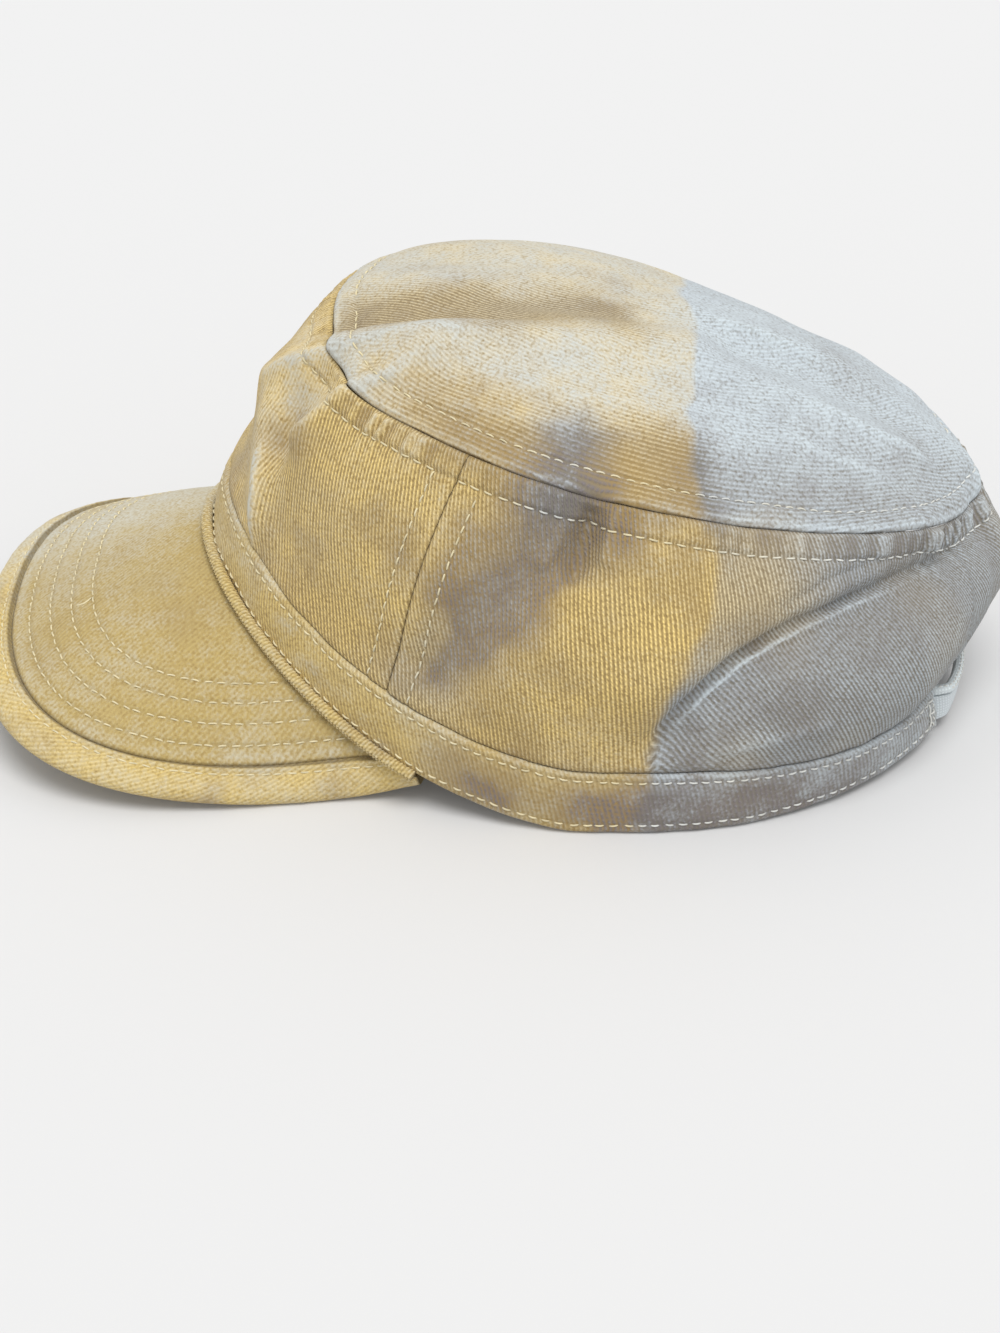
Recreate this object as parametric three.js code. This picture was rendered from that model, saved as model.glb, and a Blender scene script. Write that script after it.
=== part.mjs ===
// A washed cotton twill cadet cap lying on a table, as an assembly of its sewn pieces.
//
// Millimetres. X runs across the cap, with the wearer's left at +X. The peak points to -Y and Z is up. The
// origin is on the table, under the middle of the cap.
// An angle around the cap is 0 at the middle of the forehead, 90 at the wearer's left, and 180 at the back.
import * as THREE from "three";

// The head opening is an oval, a little wider at the back. Its front is lifted by the arch of the peak,
// and its back a little, because the cap rests on the sides of its band and the sides of its peak.
const HEAD = { halfWidth: 80.5, frontLength: 96, rearLength: 99, backEgg: 0.07 };
const LIFT = { front: 45, archEnd: 96, rear: 6.6, rearPower: 4.6, flattened: 1.2 };

const BAND = { frontHeight: 14.5, sideHeight: 17.7, rearHeight: 10.2, thickness: 2.6, endAngle: 153 };
// How far the band leans in at its upper edge. Under the slouched cloth at the back it rolls out again.
const LEAN = { front: 4, side: -0.8, rear: 3.5 };
const ROLL = { height: 3.6, at: 131, width: 17 };
// The strap runs inside the ends of the band, then bows out past them and is flat across the middle.
const STRAP = {
  thickness: 1.2, top: 0.62, overlapAngle: 6, bindingRadius: 1.3, tuckedAngle: 27.3, freeAngle: 22.5,
  bow: 1.2, flat: -2,
};

// The seam that joins the wall and the top panel: its half width, its reach in Y, and its height at the
// front, side and back. It is a little wider at the front.
const TOP_SEAM = {
  halfWidth: 67.5, frontY: -66, rearY: 101,
  frontZ: 99.5, sideZ: 80, rearZ: 55, frontEgg: 0.13,
};
// The front of that seam is square: its middle is flattened back, and its corners reach forward.
const CORNER = { forward: 2.6, at: 33, width: 9, middleBack: 1.4, middleWidth: 14 };
const WALL = { thickness: 1.6, frontBulge: 5.5, sideBulge: 6, rearBulge: 8 };
// The wall is fullest low down at the back and high up at the front.
const BULGE_POWER = { front: 1.7, side: 1, rear: 0.98 };
const TOP = { frontDome: 26.5, sideDome: 19.2, rearDome: 21, domePower: 3 };

// The slanting seams between the front panel and the side panels, as angles around the cap.
const FRONT_SEAM = { atBand: 59, atTop: 56 };
// The arched opening at the back, above the strap: half its width, and its height as a share of the wall.
const ARCH = { halfAngle: 25.5, rise: 0.4 };

// Half the outline of the peak, from the middle of its edge to the temple, is one cubic curve.
const PEAK = {
  templeAngle: 66, coverEnd: 0.88, thickness: 3, crown: 2,
  tip: [0, -157.5, 17.4], tipHandle: [120, -157.5, 17.4], templeHandle: [52, -58.5, -12.6],
};
const BINDING = { width: 9, end: 0.97 };
const WELT = { radius: 1.5, endAngle: 64 };
const GAP = 0.35;

const COLOURS = { khaki: 0xa89a72, olive: 0x9c8f64, grey: 0x9fa3a4, pale: 0xc9ccc8 };

const lerp = (a, b, t) => a + (b - a) * t;
const smooth = (t) => THREE.MathUtils.smoothstep(t, 0, 1);
const radians = THREE.MathUtils.degToRad;

// A value given at the front, side and back of the cap, at an angle whose cosine is c.
const around = (front, side, rear, c) =>
  side + ((front - rear) / 2) * c + ((front + rear) / 2 - side) * c * c;

// A rounded rise from 0 to 1 and back, at a distance from its middle.
const bump = (distance, width) => Math.exp(-((distance / width) ** 2));

// How far an angle around the cap is from the middle of the forehead, in degrees.
const fromFront = (angle) => THREE.MathUtils.radToDeg(Math.acos(Math.cos(angle)));

// The folds and dents of the crown. Each follows a line of points on the cloth. Height is how far it
// pushes the cloth out, or in where it is negative, and width is how far it spreads to each side.
const FOLDS = [
  { name: "upright ridge on the forehead", height: 2.5, width: 7,
    line: [[19, -80, 79], [27, -81, 68], [32, -82, 55]] },
  { name: "long ridge over the seam", height: 2.6, width: 8,
    line: [[3, -80, 85], [13, -73, 93], [20, -64, 99], [26, -40, 106], [25, -5, 106], [13, 24, 98]] },
  { name: "hollow behind the long ridge", height: -2.2, width: 10,
    line: [[2, -57, 105], [12, -42, 109], [7, -15, 110]] },
  { name: "short ridge over the seam", height: 3.2, width: 6,
    line: [[35, -69, 85], [36, -58, 95], [33, -40, 105]] },
  { name: "dent between the ridges", height: -4, width: 7,
    line: [[28, -77, 80], [27, -72, 88], [28, -66, 94]] },
  { name: "pinch under the seam", height: -3, width: 5,
    line: [[69, -1, 80], [73, -4, 72]] },
  { name: "slanting valley on the side", height: -3.2, width: 9,
    line: [[72, -6, 75], [74, -22, 62], [71, -38, 40]] },
  { name: "fullness in front of the valley", height: 1.2, width: 12,
    line: [[77, -14, 48], [76, -28, 30]] },
  { name: "fullness behind the valley", height: 2, width: 13,
    line: [[74, 12, 70], [80, 12, 46]] },
  { name: "slouch crease", height: -4.5, width: 6.5,
    line: [[82, 13, 22], [81, 22, 35], [76, 36, 47], [62, 61, 53], [43, 82, 54], [18, 99, 51]] },
  { name: "roll above the crease", height: 3, width: 9,
    line: [[82, 12, 42], [77, 30, 59], [60, 60, 65], [42, 80, 63]] },
  { name: "fullness below the crease", height: 2, width: 16,
    line: [[76, 48, 32], [58, 74, 34]] },
  { name: "outer ridge on the back of the top", height: 2.2, width: 8,
    line: [[-9, 25, 98], [-10, 53, 87], [6, 93, 62]] },
  { name: "hollow on the back of the top", height: -1.8, width: 7,
    line: [[5, 38, 93], [8, 72, 77]] },
  { name: "inner ridge on the back of the top", height: 1.8, width: 8,
    line: [[19, 26, 97], [21, 51, 87], [22, 74, 74]] },
  { name: "dip beyond the long ridge", height: -1.8, width: 9,
    line: [[-16, -43, 108], [-14, -23, 109]] },
  { name: "flat of the forehead", height: -2.4, width: 9,
    line: [[-16, -80, 84], [-9, -83, 76]] },
  { name: "fullness at the back of the top", height: 1.8, width: 13,
    line: [[-30, 72, 73], [-25, 82, 68]] },
  { name: "pull of the seam at the back", height: -1.6, width: 6,
    line: [[-8, 101, 53], [0, 103, 50], [12, 99, 56]] },
  { name: "fullness of the wall at the back", height: 1.6, width: 7,
    line: [[5, 105, 41], [13, 104, 34]] },
  { name: "soft dent on the right", height: -3, width: 14,
    line: [[-74, 30, 62], [-78, 0, 40]] },
  { name: "soft fullness on the right", height: 4.15, width: 14,
    line: [[-80, 24, 32], [-72, 50, 46]] },
];

// The middle of the finished cap, which is moved to the origin, on the table.
const MIDDLE_Y = -24.7;

export const group = new THREE.Group();

function outward(angle) {
  const out = new THREE.Vector3(Math.sin(angle) / HEAD.halfWidth, -Math.cos(angle) / HEAD.frontLength, 0);
  return out.normalize();
}

// The lower edge of the band, lying flat on the table at the sides.
function bandBottom(angle) {
  const [s, c] = [Math.sin(angle), Math.cos(angle)];
  const arch = Math.min(1, Math.acos(c) / radians(LIFT.archEnd));
  const frontLift = (LIFT.front * (1 + Math.cos(Math.PI * arch))) / 2;
  const rearLift = LIFT.rear * ((1 - c) / 2) ** LIFT.rearPower;
  const z = Math.max(0, frontLift + rearLift - LIFT.flattened);
  const length = lerp(HEAD.frontLength, HEAD.rearLength, (1 - c) / 2);
  return new THREE.Vector3(HEAD.halfWidth * s * (1 - HEAD.backEgg * c), -length * c, z);
}

// A point on the outer face of the band: share runs from 0 at its lower edge to 1 at its upper edge.
function bandFace(angle, share) {
  const c = Math.cos(angle);
  const height = around(BAND.frontHeight, BAND.sideHeight, BAND.rearHeight, c);
  const rolled = ROLL.height * bump(fromFront(angle) - ROLL.at, ROLL.width);
  const lean = around(LEAN.front, LEAN.side, LEAN.rear, c) - rolled;
  const p = bandBottom(angle).addScaledVector(outward(angle), -lean * share);
  p.z += height * share;
  return p;
}

function topSeam(angle) {
  const [s, c] = [Math.sin(angle), Math.cos(angle)];
  const [middle, half] = [(TOP_SEAM.frontY + TOP_SEAM.rearY) / 2, (TOP_SEAM.rearY - TOP_SEAM.frontY) / 2];
  const z = around(TOP_SEAM.frontZ, TOP_SEAM.sideZ, TOP_SEAM.rearZ, c);
  const forward = CORNER.forward * bump(fromFront(angle) - CORNER.at, CORNER.width);
  const y = middle - half * c - forward + CORNER.middleBack * bump(fromFront(angle), CORNER.middleWidth);
  return new THREE.Vector3(TOP_SEAM.halfWidth * s * (1 + TOP_SEAM.frontEgg * c), y, z);
}

// The way the cloth faces, near enough, anywhere on the crown.
function facing(p) {
  return new THREE.Vector3(p.x / 80 ** 2, (p.y - 5) / 98 ** 2, (p.z - 25) / 82 ** 2).normalize();
}

function distanceToLine(p, line) {
  const nearest = new THREE.Vector3();
  const ends = line.map((end) => new THREE.Vector3(...end));
  const distances = ends.slice(1).map((end, k) =>
    new THREE.Line3(ends[k], end).closestPointToPoint(p, true, nearest).distanceTo(p));
  return Math.min(...distances);
}

// The folds move a point of the crown along the way it faces.
function folded(p, share = 1) {
  let height = 0;
  for (const fold of FOLDS) {
    height += fold.height * bump(distanceToLine(p, fold.line), fold.width);
  }
  return p.clone().addScaledVector(facing(p), height * share);
}

// The wall of the crown: rise runs from 0 at the band to 1 at the top seam.
function wall(angle, rise) {
  const c = Math.cos(angle);
  const bulge = around(WALL.frontBulge, WALL.sideBulge, WALL.rearBulge, c);
  const p = bandFace(angle, 1).lerp(topSeam(angle), rise);
  const power = around(BULGE_POWER.front, BULGE_POWER.side, BULGE_POWER.rear, c);
  p.addScaledVector(outward(angle), bulge * Math.sin(Math.PI * rise ** power));
  return folded(p, smooth(rise * 5));
}

// The top panel: reach runs from 0 at its middle to 1 at the seam.
function top(angle, reach) {
  const c = Math.cos(angle) * reach;
  const middle = (TOP_SEAM.frontY + TOP_SEAM.rearY) / 2;
  const p = topSeam(angle);
  p.x *= reach;
  p.y = lerp(middle, p.y, reach);
  const dome = around(TOP.frontDome, TOP.sideDome, TOP.rearDome, c);
  p.z = around(TOP_SEAM.frontZ, TOP_SEAM.sideZ, TOP_SEAM.rearZ, c) + dome * (1 - reach ** TOP.domePower);
  return folded(p);
}

// How high on the wall the arched opening reaches at an angle, as a share of the wall.
function archRise(angle) {
  const across = Math.abs(angle - Math.PI) / radians(ARCH.halfAngle);
  return across < 1 ? ARCH.rise * Math.sqrt(1 - across * across) : 0;
}

function frontSeamAngle(rise) {
  return radians(lerp(FRONT_SEAM.atBand, FRONT_SEAM.atTop, rise));
}

function geometryOf(points, faces) {
  const geometry = new THREE.BufferGeometry();
  const numbers = points.flatMap((p) => [p.x, p.y, p.z]);
  geometry.setAttribute("position", new THREE.Float32BufferAttribute(numbers, 3));
  geometry.setIndex(faces.flat());
  geometry.computeVertexNormals();
  return geometry;
}

function addPiece(name, geometry, colour) {
  const material = new THREE.MeshStandardMaterial({ color: colour, roughness: 0.95, metalness: 0 });
  const mesh = new THREE.Mesh(geometry, material);
  mesh.name = name;
  group.add(mesh);
}

// The unit normal of a surface given as a function of u and v, each 0 to 1.
function normalAt(surface, u, v) {
  const step = 1e-3;
  const [u0, u1] = [Math.max(0, u - step), Math.min(1, u + step)];
  const [v0, v1] = [Math.max(0, v - step), Math.min(1, v + step)];
  const du = surface(u1, v).sub(surface(u0, v));
  const dv = surface(u, v1).sub(surface(u, v0));
  return du.cross(dv).normalize();
}

// A sheet of cloth with a thickness. The surface is its outer face. Its low and high edges can be cut at a
// slant, and its thickness can be laid level instead of square to the surface.
function sheetGeometry(surface, columns, rows, thickness, { low = 0, high = 0, level = false } = {}) {
  const points = [];
  for (const depth of [0, thickness])
    for (let j = 0; j <= rows; j++)
      for (let i = 0; i <= columns; i++) {
        const u = i / columns;
        const v = depth ? lerp(low, 1 - high, j / rows) : j / rows;
        const normal = normalAt(surface, u, v);
        if (level) normal.setZ(0).normalize();
        points.push(surface(u, v).addScaledVector(normal, -depth));
      }
  const layer = (columns + 1) * (rows + 1);
  const at = (i, j, k) => k * layer + j * (columns + 1) + i;
  const faces = [];
  const quad = (a, b, c, d) => faces.push([a, b, c], [a, c, d]);
  for (let j = 0; j < rows; j++)
    for (let i = 0; i < columns; i++) {
      quad(at(i, j, 0), at(i + 1, j, 0), at(i + 1, j + 1, 0), at(i, j + 1, 0));
      quad(at(i, j, 1), at(i, j + 1, 1), at(i + 1, j + 1, 1), at(i + 1, j, 1));
    }
  for (let i = 0; i < columns; i++) {
    quad(at(i, 0, 0), at(i, 0, 1), at(i + 1, 0, 1), at(i + 1, 0, 0));
    quad(at(i, rows, 0), at(i + 1, rows, 0), at(i + 1, rows, 1), at(i, rows, 1));
  }
  for (let j = 0; j < rows; j++) {
    quad(at(0, j, 0), at(0, j + 1, 0), at(0, j + 1, 1), at(0, j, 1));
    quad(at(columns, j, 0), at(columns, j, 1), at(columns, j + 1, 1), at(columns, j + 1, 0));
  }
  return geometryOf(points, faces);
}

// A round sheet of cloth: rings of points around a middle point, on its outer and its inner face.
function discGeometry(surface, columns, rows, thickness, edgeSlant) {
  const points = [];
  for (const depth of [0, thickness]) {
    const middle = surface(0, 0);
    middle.z -= depth;
    points.push(middle);
    for (let j = 1; j <= rows; j++)
      for (let i = 0; i < columns; i++) {
        const [u, v] = [i / columns, (j / rows) * (depth ? 1 - edgeSlant : 1)];
        points.push(surface(u, v).addScaledVector(normalAt(surface, u, v), depth));
      }
  }
  const layer = columns * rows + 1;
  const at = (i, j, k) => k * layer + (j === 0 ? 0 : 1 + (j - 1) * columns + (i % columns));
  const faces = [];
  const quad = (a, b, c, d) => faces.push([a, b, c], [a, c, d]);
  for (let i = 0; i < columns; i++) {
    faces.push([at(0, 0, 0), at(i, 1, 0), at(i + 1, 1, 0)], [at(0, 0, 1), at(i + 1, 1, 1), at(i, 1, 1)]);
    for (let j = 1; j < rows; j++) {
      quad(at(i, j, 0), at(i, j + 1, 0), at(i + 1, j + 1, 0), at(i + 1, j, 0));
      quad(at(i, j, 1), at(i + 1, j, 1), at(i + 1, j + 1, 1), at(i, j + 1, 1));
    }
    quad(at(i, rows, 0), at(i, rows, 1), at(i + 1, rows, 1), at(i + 1, rows, 0));
  }
  return geometryOf(points, faces);
}

// A strip swept along a path: sections holds one ring of points for each step of the path.
function stripGeometry(sections) {
  const sides = sections[0].length;
  const faces = [];
  const at = (step, side) => step * sides + (side % sides);
  for (let step = 0; step + 1 < sections.length; step++)
    for (let side = 0; side < sides; side++) {
      faces.push([at(step, side), at(step, side + 1), at(step + 1, side + 1)]);
      faces.push([at(step, side), at(step + 1, side + 1), at(step + 1, side)]);
    }
  const last = sections.length - 1;
  for (let side = 1; side + 1 < sides; side++) {
    faces.push([at(0, 0), at(0, side + 1), at(0, side)]);
    faces.push([at(last, 0), at(last, side), at(last, side + 1)]);
  }
  return geometryOf(sections.flat(), faces);
}

// A round cord through a row of points, each given with the way that points out of the cap there.
function cordGeometry(path, outwardAt, radius, sides) {
  const sections = path.map((p, k) => {
    const along = path[Math.min(k + 1, path.length - 1)].clone().sub(path[Math.max(k - 1, 0)]).normalize();
    const up = along.clone().cross(outwardAt(k)).negate().normalize();
    const out = up.clone().cross(along).negate();
    return Array.from({ length: sides }, (_, side) => {
      const turn = (-2 * Math.PI * side) / sides;
      const point = p.clone().addScaledVector(out, radius * Math.cos(turn));
      return point.addScaledVector(up, radius * Math.sin(turn));
    });
  });
  return stripGeometry(sections);
}

function makeTopPanel() {
  const seamReach = 1 - 0.5 * (GAP / TOP_SEAM.halfWidth);
  const surface = (u, v) => top(u * 2 * Math.PI, v * seamReach);
  addPiece("crown_top", discGeometry(surface, 52, 9, WALL.thickness, 0.024), COLOURS.khaki);
}

// A wall panel between two edges. Each edge gives its angle at a share of the height of the panel.
function makeWallPanel(name, fromAngle, toAngle, columns) {
  const [lowest, highest] = [0.003, 0.998];
  const surface = (u, v) => {
    const angle = lerp(fromAngle(v), toAngle(v), u);
    return wall(angle, lerp(Math.max(archRise(angle), lowest), highest, v));
  };
  const slants = { low: 0.045, high: 0.025 };
  addPiece(name, sheetGeometry(surface, columns, 9, WALL.thickness, slants), COLOURS.khaki);
}

function makeWall() {
  const seamGap = radians(0.12);
  const leftSeam = (v) => frontSeamAngle(v);
  const rightSeam = (v) => 2 * Math.PI - frontSeamAngle(v);
  makeWallPanel("crown_front", (v) => seamGap - leftSeam(v), (v) => leftSeam(v) - seamGap, 22);
  makeWallPanel("crown_side_left", (v) => leftSeam(v) + seamGap, () => Math.PI - seamGap, 26);
  makeWallPanel("crown_side_right", () => Math.PI + seamGap, (v) => rightSeam(v) - seamGap, 26);
}

function makeBand() {
  const end = radians(BAND.endAngle);
  const surface = (u, v) => bandFace(lerp(-end, end, u), v * 0.985);
  addPiece("band", sheetGeometry(surface, 72, 2, BAND.thickness, { level: true }), COLOURS.olive);
}

// The strap bridges the back, its ends tucked inside the ends of the band.
function strapFace(angle, share) {
  const fromBack = 180 - fromFront(angle);
  const bow = lerp(STRAP.flat, STRAP.bow, smooth(fromBack / STRAP.freeAngle));
  const free = bandBottom(angle).addScaledVector(outward(angle), bow * (0.3 + (0.7 * share) / STRAP.top));
  free.z += around(BAND.frontHeight, BAND.sideHeight, BAND.rearHeight, Math.cos(angle)) * share;
  const tucked = bandFace(angle, share).addScaledVector(outward(angle), -BAND.thickness - GAP);
  return free.lerp(tucked, smooth((fromBack - STRAP.freeAngle) / (STRAP.tuckedAngle - STRAP.freeAngle)));
}

function makeStrap() {
  const half = radians(180 - BAND.endAngle + STRAP.overlapAngle);
  const surface = (u, v) => strapFace(Math.PI + lerp(-half, half, u), lerp(0.02, STRAP.top, v));
  addPiece("back_strap", sheetGeometry(surface, 44, 2, STRAP.thickness, { level: true }), COLOURS.grey);
}

function makeStrapBinding() {
  const half = radians(180 - BAND.endAngle - 0.6);
  const steps = 36;
  const angles = Array.from({ length: steps + 1 }, (_, k) => Math.PI + lerp(-half, half, k / steps));
  const path = angles.map((angle) => {
    const p = strapFace(angle, STRAP.top).addScaledVector(outward(angle), -STRAP.thickness / 2);
    p.z += STRAP.bindingRadius + GAP;
    return p;
  });
  const cord = cordGeometry(path, (k) => outward(angles[k]), STRAP.bindingRadius, 6);
  addPiece("strap_binding", cord, COLOURS.pale);
}

function bezier(points, t) {
  const s = 1 - t;
  const weights = [s * s * s, 3 * s * s * t, 3 * s * t * t, t * t * t];
  return points.reduce((sum, p, k) => sum.addScaledVector(p, weights[k]), new THREE.Vector3());
}

// The outer edge of the peak: across runs from -1 at the wearer's right temple to 1 at the left.
function peakOuter(across) {
  const handles = [PEAK.tip, PEAK.tipHandle, PEAK.templeHandle].map((p) => new THREE.Vector3(...p));
  const p = bezier([...handles, peakInner(1)], Math.abs(across));
  p.x *= Math.sign(across) || 1;
  return p;
}

function peakInner(across) {
  const p = bandBottom(radians(across * PEAK.templeAngle));
  p.z -= GAP;
  return p;
}

// The upper face of the peak: across runs from -1 to 1, and distance is measured in from the outer edge.
function peakTop(across, distance) {
  const [outer, inner] = [peakOuter(across), peakInner(across)];
  const share = Math.min(1, distance / outer.distanceTo(inner));
  const p = outer.lerp(inner, share);
  p.z += PEAK.crown * 4 * share * (1 - share) * (1 - across * across);
  return p;
}

function makePeak() {
  const surface = (u, v) => {
    const across = lerp(-PEAK.coverEnd, PEAK.coverEnd, u);
    const depth = peakOuter(across).distanceTo(peakInner(across));
    return peakTop(across, lerp(BINDING.width + GAP, depth - GAP, v));
  };
  addPiece("peak", sheetGeometry(surface, 34, 5, PEAK.thickness), COLOURS.khaki);
}

// The rolled binding around the edge of the peak: each pair is a distance in from the edge and a height.
const BINDING_SECTION = [
  [9, -3.1], [9, 0.3], [6.5, 0.8], [2.5, 0.7], [0.6, 0], [0, -1.3], [0.7, -2.7], [3, -3.3],
];

function makePeakBinding() {
  const steps = 44;
  const sections = Array.from({ length: steps + 1 }, (_, k) => {
    const across = lerp(-BINDING.end, BINDING.end, k / steps);
    const depth = peakOuter(across).distanceTo(peakInner(across));
    const narrowed = Math.min(1, (depth - GAP) / BINDING.width);
    const face = (u, v) => peakTop(lerp(-1, 1, u), v * BINDING.width);
    const normal = normalAt(face, (across + 1) / 2, 0.5);
    return BINDING_SECTION.map(([distance, height]) =>
      peakTop(across, distance * narrowed).addScaledVector(normal, height));
  });
  addPiece("peak_binding", stripGeometry(sections), COLOURS.olive);
}

// The covered piping in the corner between the band and the peak.
function makeWelt() {
  const steps = 36;
  const clear = WELT.radius + GAP;
  const end = radians(WELT.endAngle);
  const angles = Array.from({ length: steps + 1 }, (_, k) => lerp(-end, end, k / steps));
  const path = angles.map((angle) => {
    const across = angle / radians(PEAK.templeAngle);
    const [outer, inner] = [peakOuter(across), peakInner(across)];
    const slope = Math.atan2(inner.z - outer.z, Math.hypot(inner.x - outer.x, inner.y - outer.y));
    const p = bandBottom(angle).addScaledVector(outward(angle), clear);
    p.z += (clear * (1 - Math.sin(slope))) / Math.cos(slope);
    return p;
  });
  addPiece("peak_welt", cordGeometry(path, (k) => outward(angles[k]), WELT.radius, 6), COLOURS.olive);
}

makeTopPanel();
makeWall();
makeBand();
makeStrap();
makeStrapBinding();
makePeak();
makePeakBinding();
makeWelt();
group.position.y = -MIDDLE_Y;

export default group;
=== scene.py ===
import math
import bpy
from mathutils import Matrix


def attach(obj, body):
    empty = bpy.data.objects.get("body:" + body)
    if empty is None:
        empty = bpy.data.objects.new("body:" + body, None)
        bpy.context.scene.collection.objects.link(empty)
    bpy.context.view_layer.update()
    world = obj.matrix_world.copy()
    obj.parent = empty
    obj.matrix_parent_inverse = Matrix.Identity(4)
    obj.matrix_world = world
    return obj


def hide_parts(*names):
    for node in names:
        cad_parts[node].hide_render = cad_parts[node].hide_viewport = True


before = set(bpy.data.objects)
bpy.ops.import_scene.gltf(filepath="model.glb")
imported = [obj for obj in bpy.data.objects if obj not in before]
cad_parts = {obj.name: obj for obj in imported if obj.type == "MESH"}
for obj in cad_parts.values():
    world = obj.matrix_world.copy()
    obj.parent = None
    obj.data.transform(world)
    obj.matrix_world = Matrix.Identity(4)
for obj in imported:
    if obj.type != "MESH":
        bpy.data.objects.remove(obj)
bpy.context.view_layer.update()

# Looks of a washed cotton twill cadet cap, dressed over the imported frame.
#
# Sizes are in millimetres, in the frame in which the cap is drawn: X runs across the cap, with the wearer's
# left at +X, the peak points to -Y, and Z is up from the table. A mesh is moved to the middle of the packed
# frame and turned into metres when it is made. An angle around the cap is 0 at the middle of the forehead,
# 90 at the wearer's left and 180 at the back.
from types import SimpleNamespace as Sizes

import bpy
import numpy as np
from mathutils import Vector
from numpy import radians

MIDDLE_Y = -24.7

# The main sizes, the same as those of the solids.
HEAD = Sizes(half_width=80.5, front_length=96, rear_length=99, back_egg=0.07)
LIFT = Sizes(front=45, arch_end=96, rear=6.6, rear_power=4.6, flattened=1.2)
BAND = Sizes(front_height=14.5, side_height=17.7, rear_height=10.2, thickness=2.6, end_angle=153)
LEAN = Sizes(front=4, side=-0.8, rear=3.5)
ROLL = Sizes(height=3.6, at=131, width=17)
STRAP = Sizes(
    thickness=1.2, top=0.62, overlap_angle=6, binding_radius=1.3, tucked_angle=27.3, free_angle=22.5,
    bow=1.2, flat=-2, binding_half_angle=29,
)
TOP_SEAM = Sizes(
    half_width=67.5, front_y=-66, rear_y=101, front_z=99.5, side_z=80, rear_z=55, front_egg=0.13,
)
CORNER = Sizes(forward=2.6, at=33, width=9, middle_back=1.4, middle_width=14)
WALL = Sizes(thickness=1.6, front_bulge=5.5, side_bulge=6, rear_bulge=8)
BULGE_POWER = Sizes(front=1.7, side=1, rear=0.98)
TOP = Sizes(front_dome=26.5, side_dome=19.2, rear_dome=21, dome_power=3)
FRONT_SEAM = Sizes(at_band=59, at_top=56)
ARCH = Sizes(half_angle=27.8, rise=0.4)
PEAK = Sizes(
    temple_angle=66, cover_end=0.88, thickness=3, crown=2,
    tip=(0, -157.5, 17.4), tip_handle=(120, -157.5, 17.4), temple_handle=(52, -58.5, -12.6),
)
BINDING = Sizes(width=9, end=0.97)
WELT = Sizes(radius=1.5, end_angle=64)
GAP = 0.35

# The main folds of the crown, as in the solids: how high each stands, or how deep it is where that is
# negative, how far it spreads to each side of its line, and its line.
FOLDS = [
    # The forehead and the long ridges over its seam
    (2.5, 7, [(19, -80, 79), (27, -81, 68), (32, -82, 55)]),
    (2.6, 8, [(3, -80, 85), (13, -73, 93), (20, -64, 99), (26, -40, 106), (25, -5, 106), (13, 24, 98)]),
    (-2.2, 10, [(2, -57, 105), (12, -42, 109), (7, -15, 110)]),
    (3.2, 6, [(35, -69, 85), (36, -58, 95), (33, -40, 105)]),
    (-4, 7, [(28, -77, 80), (27, -72, 88), (28, -66, 94)]),
    # The wearer's left side
    (-3, 5, [(69, -1, 80), (73, -4, 72)]),
    (-3.2, 9, [(72, -6, 75), (74, -22, 62), (71, -38, 40)]),
    (1.2, 12, [(77, -14, 48), (76, -28, 30)]),
    (2, 13, [(74, 12, 70), (80, 12, 46)]),
    # The slouch on the left
    (-4.5, 6.5, [(82, 13, 22), (81, 22, 35), (76, 36, 47), (62, 61, 53), (43, 82, 54), (18, 99, 51)]),
    (3, 9, [(82, 12, 42), (77, 30, 59), (60, 60, 65), (42, 80, 63)]),
    (2, 16, [(76, 48, 32), (58, 74, 34)]),
    # The back
    (2.2, 8, [(-9, 25, 98), (-10, 53, 87), (6, 93, 62)]),
    (-1.8, 7, [(5, 38, 93), (8, 72, 77)]),
    (1.8, 8, [(19, 26, 97), (21, 51, 87), (22, 74, 74)]),
    # The far side of the forehead and of the top
    (-1.8, 9, [(-16, -43, 108), (-14, -23, 109)]),
    (-2.4, 9, [(-16, -80, 84), (-9, -83, 76)]),
    (1.8, 13, [(-30, 72, 73), (-25, 82, 68)]),
    # The back of the wall
    (-1.6, 6, [(-8, 101, 53), (0, 103, 50), (12, 99, 56)]),
    (1.6, 7, [(5, 105, 41), (13, 104, 34)]),
    # The wearer's right side
    (-3, 14, [(-74, 30, 62), (-78, 0, 40)]),
    (4.15, 14, [(-80, 24, 32), (-72, 50, 46)]),
]

# The line of the slouch crease on the wearer's left, from the band to the back.
SLOUCH = [
    (81, 13, 20), (80, 15, 27), (79, 19, 33), (77, 25, 39.5), (75, 32, 45.5), (71, 40, 49.5), (66, 49, 52),
    (59, 61, 53.5), (48, 74, 53.5), (36, 86, 52), (17, 97, 49),
]

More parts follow.
